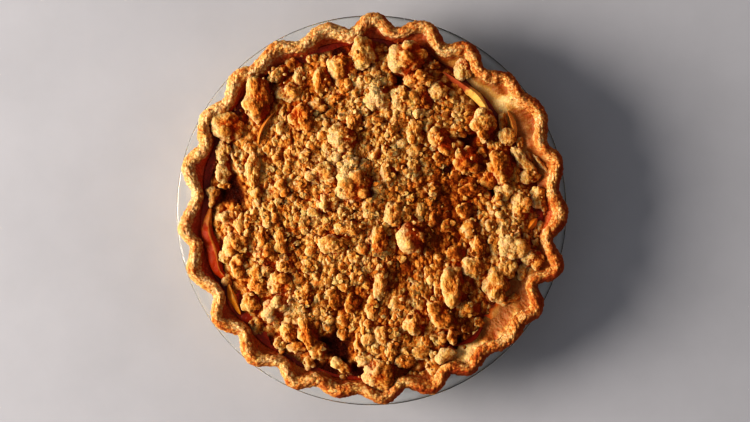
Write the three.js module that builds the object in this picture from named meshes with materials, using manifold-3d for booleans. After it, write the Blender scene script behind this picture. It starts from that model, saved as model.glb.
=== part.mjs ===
// An apple crumble pie in its own clear glass pie dish.
// Millimetres, +Z up, origin at the centre of the flat underside of the dish.
import * as THREE from 'three';
import { mergeVertices } from 'three/addons/utils/BufferGeometryUtils.js';
import Module from 'manifold-3d';

const wasm = await Module();
wasm.setup();

// ---- Driving dimensions ----

const gap = 0.35; // clearance kept wherever two pieces touch

const dish = {
  footRadius: 86, // flat ring that stands on the table
  rimRadius: 120.5, // a nine-inch pie dish measured over its rim
  rimHeight: 38,
  floorRadius: 85.2, // inside, where the floor turns up into the wall
  floorHeight: 4.6,
  wallTopRadius: 108.6, // inside, where the wall turns out into the rim
  steps: 54,
};

const crust = {
  thickness: 4.5, // of the dough that lines the dish
  crestHeight: 50.3, // top of the fluted edge
  crestSwell: 0.7, // the edge stands this much higher or lower along its run
  ribbonWidth: 7.2, // of the pinched edge, seen from above
  steps: 144,
};

const filling = {
  edgeHeight: 40.6, // where the syrup meets the crust
  centreHeight: 46,
  edgeWave: 0.5,
  steps: 96,
};

const crumble = {
  coreDepth: 3.2, // of the packed crumbs under the loose clumps
  coreSteps: 40,
  clumpHeight: 0.84, // height of a clump over its mean width
  clumpSunk: 0.44, // part of that height that is sunk in the packed crumbs
  fuller: 1.1, // flat facets cut a round clump short, so its corners lie this much further out
  wallCheck: 4, // a clump beside the crust keeps clear of it over this length to either side
  facetedFrom: 26, // mean width in photo pixels from which a clump gets the finer facets
  smallCount: 48, // places tried for small clumps
  smallWidth: [8, 12], // their widths in photo pixels
  seed: 41,
};

// The photo looks straight down. Pixel places are turned into millimetres at the height they lie at.
const photo = {
  centreX: 371.5, // centre of the rim
  centreY: 210.3,
  rimRadius: 195.2,
  eyeHeight: 1150, // of the lens above the table
};

// Pinched edge: angle and reach of each outward point, then of the dip after it.
// Angles in degrees from +X, reaches in photo pixels from the middle of the rim.
const flutes = [
  [-1, 196, 6.3, 189], [14.7, 198, 21.3, 189.5], [30.6, 200.9, 37.5, 193.8],
  [43.3, 196.2, 51.3, 183.5], [59.4, 194.8, 65.8, 182.1], [73.6, 197.9, 82.5, 185.6],
  [89.5, 198.3, 96.6, 183.1], [104.1, 192.8, 113.1, 186], [120.6, 194.2, 129.8, 189],
  [135, 195.8, 143, 186.6], [151.2, 195.9, 159.2, 185.7], [166, 195, 175.4, 182],
  [186, 194.5, 191.5, 186.5], [199, 194.5, 208.3, 181.6], [215.8, 195.2, 223.3, 183.3],
  [230.8, 195.5, 239.4, 184.7], [245.8, 194.9, 252.5, 185.1], [259, 190.8, 266, 185.6],
  [273.5, 194.3, 281, 182.6], [289, 194.4, 296, 182.6], [302.3, 193.3, 308, 187],
  [318, 195.3, 323, 191.4], [328.8, 198.6, 335.8, 183.7], [342.7, 200.8, 350.8, 185],
];

// Reach of the packed crumbs every 15 degrees from +X, in photo pixels.
const coreReach = [
  165, 161, 158, 151, 153, 156, 158, 158, 157, 157, 159, 154,
  150, 153, 155, 152, 157, 160, 160, 159, 155, 150, 159, 163,
];

// Apple slices that show: the line of the middle of each, its width in photo pixels and its height.
const slices = [
  { line: [[211, 208], [207.5, 232], [210, 252], [217, 270], [225, 282]], width: 8, height: 8 },
  { line: [[228, 283], [232, 297], [240, 315]], width: 8, height: 7 },
  { line: [[443, 72], [462, 86], [478, 98], [490, 115]], width: 14, height: 9 },
  { line: [[508, 111], [514, 123], [517, 137]], width: 6, height: 8 },
  { line: [[527, 230], [532, 224], [537, 218]], width: 8, height: 8 },
  { line: [[275, 110], [268, 128], [257, 147]], width: 9, height: 14 },
  { line: [[449, 344], [466, 342], [475, 337], [482, 327]], width: 5, height: 8 },
];

// Clumps of crumble, read off the photo one by one in its pixels: x, y, width, depth, turn in degrees.
const clumps = [
  [257, 100, 26, 40], [227, 127, 28, 26], [278, 72, 24, 13, 35], [289, 88, 22, 26], [301, 117, 23, 24],
  [242, 142, 14, 10], [361, 53, 24, 28], [408, 58, 33, 30], [342, 66, 26, 24], [322, 80, 16, 22],
  [343, 86, 14, 18], [317, 107, 18, 16], [362, 81, 15, 14], [375, 84, 14, 20], [376, 97, 22, 22],
  [402, 98, 20, 22], [420, 98, 20, 22], [418, 79, 26, 16], [439, 92, 18, 20], [354, 121, 14, 22],
  [316, 124, 22, 12, 30], [343, 140, 24, 28], [415, 131, 14, 24], [441, 140, 30, 17, -50], [391, 137, 14, 16],
  [465, 68, 17, 20], [484, 125, 22, 30], [460, 115, 14, 14], [508, 137, 16, 18], [223, 152, 14, 22],
  [223, 172, 14, 20], [252, 170, 14, 30], [212, 197, 12, 18], [227, 219, 20, 12, -25], [248, 222, 14, 16],
  [235, 244, 22, 20], [237, 266, 13, 22], [262, 236, 12, 22], [264, 254, 20, 20], [281, 240, 12, 22],
  [304, 222, 12, 20], [302, 183, 14, 14], [306, 160, 12, 18], [285, 265, 18, 18], [309, 266, 14, 16],
  [273, 218, 14, 18], [347, 166, 18, 20], [322, 172, 24, 18], [353, 187, 30, 28], [327, 203, 20, 18],
  [388, 172, 14, 24], [389, 152, 20, 12], [413, 170, 12, 20], [379, 188, 16, 12], [370, 208, 14, 18],
  [393, 215, 16, 20], [378, 243, 16, 28], [410, 238, 24, 28], [334, 245, 28, 18], [350, 228, 28, 14],
  [354, 255, 14, 14], [434, 190, 12, 14], [466, 160, 22, 24], [500, 168, 22, 30], [490, 178, 16, 18],
  [522, 160, 30, 12, -50], [530, 176, 18, 14], [472, 191, 24, 14], [522, 205, 18, 28], [538, 198, 14, 18],
  [508, 215, 14, 30], [496, 225, 20, 12], [509, 247, 22, 24], [533, 259, 20, 18], [478, 247, 14, 22],
  [455, 255, 18, 14], [472, 229, 18, 16], [474, 268, 20, 18], [508, 268, 16, 20], [254, 294, 20, 30, -20],
  [276, 307, 30, 24, 40], [297, 348, 18, 12], [292, 317, 16, 16], [289, 332, 16, 22], [281, 283, 23, 23],
  [259, 273, 15, 17], [305, 300, 16, 20], [307, 332, 18, 32], [316, 350, 14, 20], [321, 281, 20, 14],
  [334, 298, 12, 20], [352, 305, 12, 18], [357, 343, 12, 16], [355, 275, 14, 18], [372, 305, 12, 26],
  [380, 282, 12, 32], [385, 334, 16, 16], [378, 350, 14, 12], [380, 376, 30, 28], [403, 360, 20, 12],
  [412, 327, 18, 24], [423, 352, 16, 14], [434, 316, 26, 14, 60], [436, 340, 14, 16], [435, 370, 16, 14],
  [454, 286, 22, 36], [496, 285, 24, 30], [470, 309, 20, 16], [446, 315, 17, 28], [446, 356, 17, 12],
  [509, 303, 22, 8, 20],
];

// ---- Small helpers ----

const degree = Math.PI / 180;
const fullTurn = 2 * Math.PI;

// Millimetres that one photo pixel covers at a height above the table.
function pixelAt(height) {
  const atRim = dish.rimRadius / photo.rimRadius;
  return (atRim * (photo.eyeHeight - height)) / (photo.eyeHeight - dish.rimHeight);
}

// A run of repeatable draws between 0 and 1.
function makeDraw(seed) {
  let state = seed;
  return () => {
    state = (state + 0x6d2b79f5) | 0;
    let mixed = Math.imul(state ^ (state >>> 15), 1 | state);
    mixed = (mixed + Math.imul(mixed ^ (mixed >>> 7), 61 | mixed)) ^ mixed;
    return ((mixed ^ (mixed >>> 14)) >>> 0) / 4294967296;
  };
}

// Eased value between two knots of a closed run of [angle, value] pairs, angles in degrees.
function between(knots, angle) {
  const [firstAngle, firstValue] = knots[0];
  const wrapped = (((angle / degree - firstAngle) % 360) + 360) % 360 + firstAngle;
  const after = knots.findIndex((knot) => knot[0] > wrapped);
  const start = after > 0 ? knots[after - 1] : knots[knots.length - 1];
  const end = after > 0 ? knots[after] : [firstAngle + 360, firstValue];
  const share = (wrapped - start[0]) / (end[0] - start[0]);
  const eased = (1 - Math.cos(Math.PI * share)) / 2;
  return start[1] + (end[1] - start[1]) * eased;
}

// Shares the vertices of a geometry and drops the triangles that have no area.
function closed(geometry) {
  geometry.deleteAttribute('normal');
  geometry.deleteAttribute('uv');
  const merged = mergeVertices(geometry, 1e-4);
  const corners = Array.from(merged.getIndex().array);
  const kept = [];
  for (let i = 0; i < corners.length; i += 3) {
    const [a, b, c] = corners.slice(i, i + 3);
    if (a !== b && b !== c && c !== a) {
      kept.push(a, b, c);
    }
  }
  merged.setIndex(kept);
  return merged;
}

// Turns a profile round the axis. Each row of it may have its own radius, height and turn at each angle.
function turned(rows, steps, shape) {
  const outline = rows.map((row) => new THREE.Vector2(row[0], row[1]));
  const geometry = new THREE.LatheGeometry(outline, steps);
  const position = geometry.getAttribute('position');
  for (let i = 0; i < position.count; i += 1) {
    const angle = ((Math.floor(i / rows.length) % steps) / steps) * fullTurn;
    const [radius, height, shift = 0] = shape(rows[i % rows.length], angle);
    position.setXYZ(i, radius * Math.cos(angle + shift), radius * Math.sin(angle + shift), height);
  }
  return closed(geometry);
}

function toSolid(geometry) {
  const vertProperties = new Float32Array(geometry.getAttribute('position').array);
  const triVerts = new Uint32Array(geometry.getIndex().array);
  return new wasm.Manifold(new wasm.Mesh({ numProp: 3, vertProperties, triVerts }));
}

function toGeometry(solid) {
  const mesh = solid.getMesh();
  const geometry = new THREE.BufferGeometry();
  geometry.setAttribute('position', new THREE.BufferAttribute(new Float32Array(mesh.vertProperties), 3));
  geometry.setIndex(Array.from(mesh.triVerts));
  return geometry;
}

// The largest body of a solid, without loose scraps or sealed hollows.
function largestBody(solid) {
  const bodies = solid.decompose();
  bodies.sort((a, b) => b.volume() - a.volume());
  return bodies[0];
}

// ---- Shape functions that the pieces share ----

const fluteKnots = flutes.flatMap(([outAngle, outReach, dipAngle, dipReach]) => [
  [outAngle, outReach],
  [dipAngle, dipReach],
]);
const coreKnots = coreReach.map((reach, i) => [(i * 360) / coreReach.length, reach]);

// Middle of the pinched edge, from the axis.
function edgeMiddle(angle) {
  return between(fluteKnots, angle) * pixelAt(crust.crestHeight) - crust.ribbonWidth / 2;
}

// How much the pinched edge turns away from a plain circle.
function edgeSlope(angle) {
  const small = 0.002;
  const change = edgeMiddle(angle + small) - edgeMiddle(angle - small);
  return Math.atan(change / (2 * small * edgeMiddle(angle)));
}

// Inside of the crust at the level of the syrup.
const wallRadius = 103.9;
const wallFollow = 0.16; // part of the flutes' in and out that the wall below them still has
const wallHeight = filling.edgeHeight + 0.9; // where the wall turns out into the flutes
const deepestDip = 107.4; // least radius of the middle of the pinched edge

function innerWall(angle) {
  return wallRadius + wallFollow * (edgeMiddle(angle) - deepestDip);
}

// Inside of the crust at a height above the syrup.
function insideAt(angle, height) {
  const ribbonInside = edgeMiddle(angle) - crust.ribbonWidth / 2 / Math.cos(edgeSlope(angle));
  const rise = THREE.MathUtils.clamp((height - wallHeight) / (crust.crestHeight - 4.9 - wallHeight), 0, 1);
  return THREE.MathUtils.lerp(innerWall(angle), ribbonInside, rise);
}

// How far from the middle something can lie at a height and stay clear of the crust beside it.
function roomInside(angle, height, halfLength) {
  const spread = halfLength / wallRadius;
  const sides = [angle - spread, angle, angle + spread];
  return Math.min(...sides.map((side) => insideAt(side, height))) - 2 * gap;
}

// Least height above the dome of the filling at which a piece clears its waves.
const overFilling = filling.edgeWave + gap;

// Top of the filling, a low dome.
function fillingTop(radius) {
  const share = Math.min(1, radius / wallRadius);
  return filling.centreHeight - (filling.centreHeight - filling.edgeHeight) * share * share;
}

// ---- Glass dish ----

function dishGeometry() {
  const rim = dish.rimRadius;
  const top = dish.rimHeight;
  const rows = [
    [0, 0],
    [dish.footRadius, 0],
    [dish.footRadius + 5, 3.4],
    [rim - 9.9, top - 6.4],
    [rim - 7.1, top - 4.6],
    [rim - 1.1, top - 3.8],
    [rim, top - 2.2],
    [rim - 1.4, top],
    [rim - 9.1, top - 0.2],
    [dish.wallTopRadius, top - 1.8],
    [dish.floorRadius + 2.8, dish.floorHeight + 2.3],
    [dish.floorRadius, dish.floorHeight + 0.4],
    [0, dish.floorHeight],
  ];
  return turned(rows, dish.steps, (row) => row);
}

// ---- Crust ----

// The dough lines the dish and ends in a pinched edge that stands on the glass rim. The rows whose third
// number is 1 are offsets from the middle of the pinched edge, and the wall row follows it a little.
function crustGeometry() {
  const rim = dish.rimRadius;
  const top = dish.rimHeight;
  const ribbon = crust.ribbonWidth;
  const crest = crust.crestHeight;
  const floorTop = dish.floorHeight + crust.thickness;
  const rows = [
    [0, dish.floorHeight + gap, 0],
    [dish.floorRadius - gap, dish.floorHeight + 0.4 + gap, 0],
    [dish.wallTopRadius - gap, top - 1.5, 0],
    [rim - 9.4, top + 0.2, 0],
    [0.36 * ribbon, top + 0.5, 1],
    [0.5 * ribbon, top + 5.3, 1],
    [0.32 * ribbon, crest - 2.1, 1],
    [0, crest, 1],
    [-0.32 * ribbon, crest - 1.5, 1],
    [-0.5 * ribbon, crest - 4.9, 1],
    [wallRadius, wallHeight, wallFollow],
    [dish.floorRadius - 3.7, floorTop - 0.5, 0],
    [0, floorTop - 0.8, 0],
  ];
  const foot = rim - 8.7;
  return turned(rows, crust.steps, ([place, level, follow], angle) => {
    const middle = edgeMiddle(angle);
    if (follow < 1) {
      return [place + follow * (middle - deepestDip), level];
    }
    const slope = edgeSlope(angle);
    const outward = middle + place * Math.cos(slope);
    const aside = -place * Math.sin(slope);
    const radius = Math.hypot(outward, aside);
    const shift = Math.atan2(aside, outward);
    const swell = crust.crestSwell * (Math.sin(3 * angle + 1) + Math.sin(7 * angle)) * 0.5;
    return level < top + 1 ? [Math.max(radius, foot), level, shift] : [radius, level + swell, shift];
  });
}

// ---- Filling ----

// Apples in syrup, from the floor of the crust up to the dome under the crumble.
function fillingGeometry() {
  const floorTop = dish.floorHeight + crust.thickness - 0.8 + gap;
  const rows = [
    [0, floorTop],
    [dish.floorRadius - 4.3, floorTop + 0.5],
    [wallRadius - 0.9 - gap, filling.edgeHeight],
    [0.8 * wallRadius, 0],
    [0.4 * wallRadius, 0],
    [0, filling.centreHeight],
  ];
  return turned(rows, filling.steps, ([radius, level], angle) => {
    if (level === filling.edgeHeight) {
      const follow = (wallFollow * (edgeMiddle(angle) - deepestDip) * 2) / 3;
      const wave = filling.edgeWave * Math.sin(5 * angle + 2) * Math.cos(8 * angle);
      return [radius + follow, level + wave];
    }
    return [radius, level === 0 ? fillingTop(radius) : level];
  });
}

// ---- Apple slices ----

// A curved slice that tapers to both ends and lies on the filling, its middle along a line seen in the photo.
// A slice that is grown a little cuts the crumble clear of the real one.
function sliceGeometry({ line, width, height }, grow) {
  const sides = 6;
  const steps = 7;
  const level = fillingTop(wallRadius * 0.95) + height * 0.28;
  const scale = pixelAt(level);
  const halfWidth = (width * scale) / 2;
  const curve = new THREE.CatmullRomCurve3(line.map(([x, y]) => {
    const place = new THREE.Vector2((x - photo.centreX) * scale, (photo.centreY - y) * scale);
    place.clampLength(0, roomInside(place.angle(), level, halfWidth) - halfWidth);
    return new THREE.Vector3(place.x, place.y, level);
  }));
  const tube = new THREE.CylinderGeometry(1, 1, 1, sides, steps);
  const position = tube.getAttribute('position');
  for (let i = 0; i < position.count; i += 1) {
    const along = position.getY(i) + 0.5;
    const middle = curve.getPointAt(along);
    const side = curve.getTangentAt(along).cross(new THREE.Vector3(0, 0, 1)).normalize();
    const fullness = 0.3 + 0.7 * Math.sin(Math.PI * along) ** 0.6;
    const across = position.getX(i) * (halfWidth * fullness + grow);
    const up = position.getZ(i) * ((height / 2) * fullness + grow);
    const forward = curve.getTangentAt(along).multiplyScalar((along - 0.5) * 2 * grow);
    const point = middle.addScaledVector(side, across).add(forward);
    const rest = fillingTop(Math.hypot(point.x, point.y)) + (grow > 0 ? 0 : overFilling);
    position.setXYZ(i, point.x, point.y, Math.max(point.z + up, rest));
  }
  return closed(tube);
}

// ---- Crumble ----

// Packed crumbs on top of the filling, out to their uneven edge.
function coreGeometry() {
  const depth = crumble.coreDepth;
  const rows = [[0, 0], [0.4, 0], [0.8, 0], [1, 0], [1, 0.3], [0.965, 0.8], [0.86, 1], [0.5, 1], [0, 1]];
  return turned(rows, crumble.coreSteps, ([share, rise], angle) => {
    const reach = between(coreKnots, angle) * pixelAt(filling.edgeHeight);
    const radius = share * reach;
    return [radius, fillingTop(radius) + overFilling + rise * (depth - overFilling)];
  });
}

// One clump, a lump with few sides. Its middle stands on the packed crumbs.
function clumpGeometry([x, y, width, depth, turn = 0], draw) {
  const mean = Math.sqrt(width * depth);
  const detail = mean >= crumble.facetedFrom ? 1 : 0;
  const guess = fillingTop(Math.hypot(x - photo.centreX, y - photo.centreY) * pixelAt(dish.rimHeight));
  const scale = pixelAt(guess + crumble.coreDepth + 3);
  const half = [width, depth, mean * crumble.clumpHeight].map((size) => size * scale * 0.5 * crumble.fuller);
  const place = new THREE.Vector2((x - photo.centreX) * scale, (photo.centreY - y) * scale);
  const lump = closed(new THREE.IcosahedronGeometry(1, detail));
  const position = lump.getAttribute('position');
  for (let i = 0; i < position.count; i += 1) {
    const swell = 0.92 + 0.24 * draw();
    position.setXYZ(i, position.getX(i) * swell, position.getY(i) * swell, position.getZ(i) * swell);
  }
  lump.rotateZ(draw() * fullTurn);
  lump.scale(half[0], half[1], half[2]);
  lump.rotateZ(turn * degree);
  const packed = fillingTop(place.length()) + crumble.coreDepth;
  lump.translate(place.x, place.y, packed + half[2] * (1 - 2 * crumble.clumpSunk));
  for (let i = 0; i < position.count; i += 1) {
    const point = new THREE.Vector2(position.getX(i), position.getY(i));
    const bottom = fillingTop(point.length()) + crumble.coreDepth * 0.55;
    const height = Math.max(position.getZ(i), bottom);
    point.clampLength(0, roomInside(point.angle(), height, crumble.wallCheck));
    position.setXYZ(i, point.x, point.y, height);
  }
  return lump;
}

// Small clumps by rule: an even spiral, each nudged a little, where no listed clump lies.
function smallClumps(draw) {
  const goldenAngle = Math.PI * (3 - Math.sqrt(5));
  const small = [];
  for (let i = 0; i < crumble.smallCount; i += 1) {
    const angle = i * goldenAngle + 0.2 * draw();
    const share = Math.sqrt((i + 0.5) / crumble.smallCount);
    const reach = share * between(coreKnots, angle) * 0.98;
    const x = photo.centreX + reach * Math.cos(angle);
    const y = photo.centreY - reach * Math.sin(angle);
    const [least, most] = crumble.smallWidth;
    const width = least + (most - least) * draw();
    const clear = clumps.every(([cx, cy, w, d]) => Math.hypot(x - cx, y - cy) > Math.sqrt(w * d) * 0.5);
    if (clear) {
      small.push([x, y, width, width * (0.7 + 0.5 * draw())]);
    }
  }
  return small;
}

function crumbleGeometry() {
  const draw = makeDraw(crumble.seed);
  const lumps = [...clumps, ...smallClumps(draw)].map((clump) => toSolid(clumpGeometry(clump, draw)));
  const heap = wasm.Manifold.union([toSolid(coreGeometry()), ...lumps]);
  const roundSlices = slices.map((slice) => toSolid(sliceGeometry(slice, gap)));
  return toGeometry(largestBody(heap.subtract(wasm.Manifold.union(roundSlices))));
}

// ---- The pie ----

const group = new THREE.Group();

function addPiece(name, geometry, look) {
  const piece = new THREE.Mesh(geometry, new THREE.MeshStandardMaterial(look));
  piece.name = name;
  group.add(piece);
}

addPiece('dish', dishGeometry(), {
  color: 0xdfe4e2,
  roughness: 0.05,
  metalness: 0,
  transparent: true,
  opacity: 0.35,
});
addPiece('crust', crustGeometry(), { color: 0xc68a48, roughness: 0.8, metalness: 0 });
addPiece('filling', fillingGeometry(), { color: 0x7a2408, roughness: 0.3, metalness: 0 });
slices.forEach((slice, i) => {
  addPiece(`apple_slice_${i + 1}`, sliceGeometry(slice, 0), {
    color: 0xc9781f,
    roughness: 0.35,
    metalness: 0,
  });
});
addPiece('crumble', crumbleGeometry(), { color: 0xb87a3f, roughness: 0.95, metalness: 0 });

export default group;
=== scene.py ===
import math
import bmesh
import bpy
import numpy as np
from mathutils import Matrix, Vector


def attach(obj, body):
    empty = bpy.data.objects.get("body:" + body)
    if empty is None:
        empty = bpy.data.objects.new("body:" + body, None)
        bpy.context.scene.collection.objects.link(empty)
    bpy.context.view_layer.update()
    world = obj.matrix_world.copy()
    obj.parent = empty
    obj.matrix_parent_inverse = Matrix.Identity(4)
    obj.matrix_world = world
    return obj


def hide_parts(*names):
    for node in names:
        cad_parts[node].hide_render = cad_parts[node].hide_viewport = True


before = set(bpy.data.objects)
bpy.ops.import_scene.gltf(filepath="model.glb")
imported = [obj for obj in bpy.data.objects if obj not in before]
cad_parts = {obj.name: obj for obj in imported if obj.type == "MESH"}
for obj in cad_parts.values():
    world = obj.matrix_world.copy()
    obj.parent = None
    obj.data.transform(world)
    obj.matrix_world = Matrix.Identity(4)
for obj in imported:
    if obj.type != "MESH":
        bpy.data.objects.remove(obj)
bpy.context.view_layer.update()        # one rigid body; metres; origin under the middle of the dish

coarser = 0
mm = 0.001
fullTurn = 2 * math.pi

# The photo looks straight down. Its pixels are turned into millimetres at the height where things lie.
photo = {
    "centreX": 371.5, "centreY": 210.3, "rimRadius": 195.2,     # the dish's rim, pixels
    "width": 750, "height": 422,                                # the picture, pixels
    "eyeHeight": 1150.0,                                        # the eye over the table, mm
}

# Sizes of the real pie in millimetres
pie = {
    "rimRadius": 120.5, "rimHeight": 38.0,      # glass rim
    "crestHeight": 50.3, "ribbonWidth": 8.0,    # pinched edge
    "crestDrop": 4.9,                           # from its crest down to its inner foot
    "wallRadius": 103.9, "wallFollow": 0.16,    # inside of the crust at the syrup, its share of the flutes
    "wallHeight": 41.5, "deepestDip": 107.4,
    "edgeHeight": 40.6, "centreHeight": 46.0,   # syrup at the crust and at the middle
    "coreDepth": 3.2,                           # packed crumbs under the loose clumps
    "slopeHeight": 44, "toneHeight": 48, "heapHeight": 50, "flakeHeight": 52,    # where places are read
}

# Pinched edge: angle and reach of each outward point, then of the dip after it (degrees, photo pixels)
flutes = [
    (-1, 196, 6.3, 189), (14.7, 198, 21.3, 189.5), (30.6, 200.9, 37.5, 193.8), (43.3, 196.2, 51.3, 183.5),
    (59.4, 194.8, 65.8, 182.1), (73.6, 197.9, 82.5, 185.6), (89.5, 198.3, 96.6, 183.1),
    (104.1, 192.8, 113.1, 186), (120.6, 194.2, 129.8, 189), (135, 195.8, 143, 186.6),
    (151.2, 195.9, 159.2, 185.7), (166, 195, 175.4, 182), (186, 194.5, 191.5, 186.5),
    (199, 194.5, 208.3, 181.6), (215.8, 195.2, 223.3, 183.3), (230.8, 195.5, 239.4, 184.7),
    (245.8, 194.9, 252.5, 185.1), (259, 190.8, 266, 185.6), (273.5, 194.3, 281, 182.6),
    (289, 194.4, 296, 182.6), (302.3, 193.3, 308, 187), (318, 195.3, 323, 191.4),
    (328.8, 198.6, 335.8, 183.7), (342.7, 200.8, 350.8, 185),
]
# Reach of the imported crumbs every 15 degrees, in photo pixels
coreReach = [165, 161, 158, 151, 153, 156, 158, 158, 157, 157, 159, 154,
             150, 153, 155, 152, 157, 160, 160, 159, 155, 150, 159, 163]


def pixelAt(height):
    # millimetres that one photo pixel covers at a height above the table
    atRim = pie["rimRadius"] / photo["rimRadius"]
    return atRim * (photo["eyeHeight"] - height) / (photo["eyeHeight"] - pie["rimHeight"])


def placeOf(x, y, height):
    size = pixelAt(height)
    return (x - photo["centreX"]) * size, (photo["centreY"] - y) * size


def evenTurn(steps):
    return np.arange(steps) / steps * fullTurn


def everyStep(values):
    # knots of a closed run whose values lie at even angles
    return [(i * 360 / len(values), value) for i, value in enumerate(values)]


def between(knots, angle):
    # eased value between two knots of a closed run of (degrees, value); angle is an array in radians
    knots = sorted((a % 360, v) for a, v in knots)
    knots = [(knots[-1][0] - 360, knots[-1][1])] + knots + [(knots[0][0] + 360, knots[0][1])]
    angles = np.array([k[0] for k in knots])
    values = np.array([k[1] for k in knots])
    turned = np.degrees(np.asarray(angle, float)) % 360
    after = np.clip(np.searchsorted(angles, turned, side="right"), 1, len(angles) - 1)
    share = (turned - angles[after - 1]) / (angles[after] - angles[after - 1])
    eased = (1 - np.cos(np.pi * share)) / 2
    return values[after - 1] + (values[after] - values[after - 1]) * eased


def smooth(low, high, value):
    t = np.clip((value - low) / (high - low), 0, 1)
    return t * t * (3 - 2 * t)


def softPatch(x, y, place, height):
    # 1 in the middle of a round place and fading outward; the place is x, y and radius in pixels
    cx, cy = placeOf(place[0], place[1], height)
    return np.exp(-((x - cx) ** 2 + (y - cy) ** 2) / (place[2] * pixelAt(height)) ** 2)


def scramble(ix, iy, iz, seed):
    # repeatable whole number for each whole-number place; the large factors only stir the bits
    h = ix.astype(np.uint32) * np.uint32(0x9E3779B1)
    h ^= iy.astype(np.uint32) * np.uint32(0x85EBCA77)
    h ^= iz.astype(np.uint32) * np.uint32(0xC2B2AE3D)
    h += np.uint32(seed * 7919 + 17)
    for shift, factor in ((15, 0x2C1B3C6D), (12, 0x297A2D39)):
        h ^= h >> np.uint32(shift)
        h *= np.uint32(factor)
    h ^= h >> np.uint32(15)
    return h


def softNoise(points, cell, seed):
    # rolling noise from -1 to 1
    p = points / cell + 1000.0
    base = np.floor(p)
    f = p - base
    f = f * f * (3 - 2 * f)
    base = base.astype(np.int64)
    total = np.zeros(len(points))
    for dx in (0, 1):
        wx = f[:, 0] if dx else 1 - f[:, 0]
        for dy in (0, 1):
            wy = f[:, 1] if dy else 1 - f[:, 1]
            for dz in (0, 1):
                wz = f[:, 2] if dz else 1 - f[:, 2]
                total += wx * wy * wz * scramble(base[:, 0] + dx, base[:, 1] + dy, base[:, 2] + dz, seed)
    return total / 2147483647.5 - 1


def cracks(points, cell, seed):
    # low sharp-edged ridges where rolling noise passes through nought
    return 0.3 - np.abs(softNoise(points, cell, seed))


def grains(points, cell, seed, planar=False):
    # round grains side by side: height from 0 in the crease to 1 on top, each grain's own shade, and crease
    p = points / cell + 1000.0
    base = np.floor(p).astype(np.int64)
    nearest = np.full(len(points), 9.0)
    second = np.full(len(points), 9.0)
    shade = np.zeros(len(points))
    tenBits = np.uint32(1023)
    inset, step = 0.12, 0.00074              # a grain's middle keeps this far from the sides of its cell
    for dx in (-1, 0, 1):
        for dy in (-1, 0, 1):
            for dz in (0,) if planar else (-1, 0, 1):
                ix, iy = base[:, 0] + dx, base[:, 1] + dy
                iz = base[:, 2] * 0 if planar else base[:, 2] + dz
                h = scramble(ix, iy, iz, seed)
                cx = ix + inset + step * (h & tenBits)
                cy = iy + inset + step * ((h >> np.uint32(10)) & tenBits)
                gap = (p[:, 0] - cx) ** 2 + (p[:, 1] - cy) ** 2
                if not planar:
                    gap = gap + (p[:, 2] - iz - inset - step * ((h >> np.uint32(20)) & tenBits)) ** 2
                closer = gap < nearest
                second = np.where(closer, nearest, np.minimum(second, gap))
                shade = np.where(closer, (h % np.uint32(997)) / 996.0, shade)
                nearest = np.where(closer, gap, nearest)
    height = 1 - np.clip(nearest / (0.5 if planar else 0.58), 0, 1)
    crease = smooth(0.22, 0.0, np.sqrt(second) - np.sqrt(nearest))
    return height, shade, crease


def addMesh(name, points, faces, marks=None):
    # points in millimetres; faces is an array of triangles or quads; marks are numbers kept at each point
    faces = np.asarray(faces)
    mesh = bpy.data.meshes.new(name)
    mesh.vertices.add(len(points))
    mesh.vertices.foreach_set("co", (np.asarray(points) * mm).astype(np.float32).ravel())
    mesh.loops.add(faces.size)
    mesh.loops.foreach_set("vertex_index", faces.astype(np.int32).ravel())
    mesh.polygons.add(len(faces))
    mesh.polygons.foreach_set("loop_start", np.arange(0, faces.size, faces.shape[1], dtype=np.int32))
    mesh.polygons.foreach_set("use_smooth", np.ones(len(faces), dtype=bool))
    mesh.update(calc_edges=True)
    for key, values in (marks or {}).items():
        mark = mesh.attributes.new(key, "FLOAT", "POINT")
        mark.data.foreach_set("value", np.clip(values, 0, 1).astype(np.float32))
    piece = bpy.data.objects.new(name, mesh)
    bpy.context.scene.collection.objects.link(piece)
    return piece


def settle(piece, finish, node):
    # every piece gets its finish, rides on the pie and stands for its CAD node
    piece.data.materials.append(finish)
    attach(piece, "root")
    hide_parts(node)
    print("piece", piece.name, len(piece.data.polygons), "faces")


def closedTube(points, steps, ends):
    # closes a run of rings with one point at each end; the first ring lies at the bottom and outside
    start, last = len(points), len(points) - steps
    ring = np.arange(steps)
    after = (ring + 1) % steps
    low = np.stack([np.full(steps, start), after, ring], axis=-1)
    high = np.stack([np.full(steps, start + 1), last + ring, last + after], axis=-1)
    row = np.arange(0, last, steps)[:, None]
    a, b = row + ring, row + after
    quads = np.stack([a, b, b + steps, a + steps], axis=-1).reshape(-1, 4)
    return np.vstack([points, ends]), np.vstack([low, high, quads[:, [0, 1, 2]], quads[:, [0, 2, 3]]])


def turnedPiece(radius, height, shift=0):
    # a closed body round the upright axis; radius and height are arrays of rings by steps
    steps = radius.shape[1]
    angle = evenTurn(steps)[None, :] + shift
    points = np.stack([radius * np.cos(angle), radius * np.sin(angle), height], axis=-1).reshape(-1, 3)
    return closedTube(points, steps, [[0, 0, height[0].mean()], [0, 0, height[-1].mean()]])


def unit(vectors):
    # rows brought to length 1
    return vectors / np.maximum(np.linalg.norm(vectors, axis=1), 1e-12)[:, None]


def outwardOf(points, triangles):
    # outward direction at each point
    corners = points[triangles]
    face = np.cross(corners[:, 1] - corners[:, 0], corners[:, 2] - corners[:, 0])
    total = np.zeros_like(points)
    for k in range(3):
        for axis in range(3):
            total[:, axis] += np.bincount(triangles[:, k], face[:, axis], len(points))
    return unit(total)


def rotated(points, angle, first=0, second=1):
    # turns points in the plane of two of their axes
    c, s = math.cos(angle), math.sin(angle)
    out = points.copy()
    out[:, first] = points[:, first] * c - points[:, second] * s
    out[:, second] = points[:, first] * s + points[:, second] * c
    return out


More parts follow.
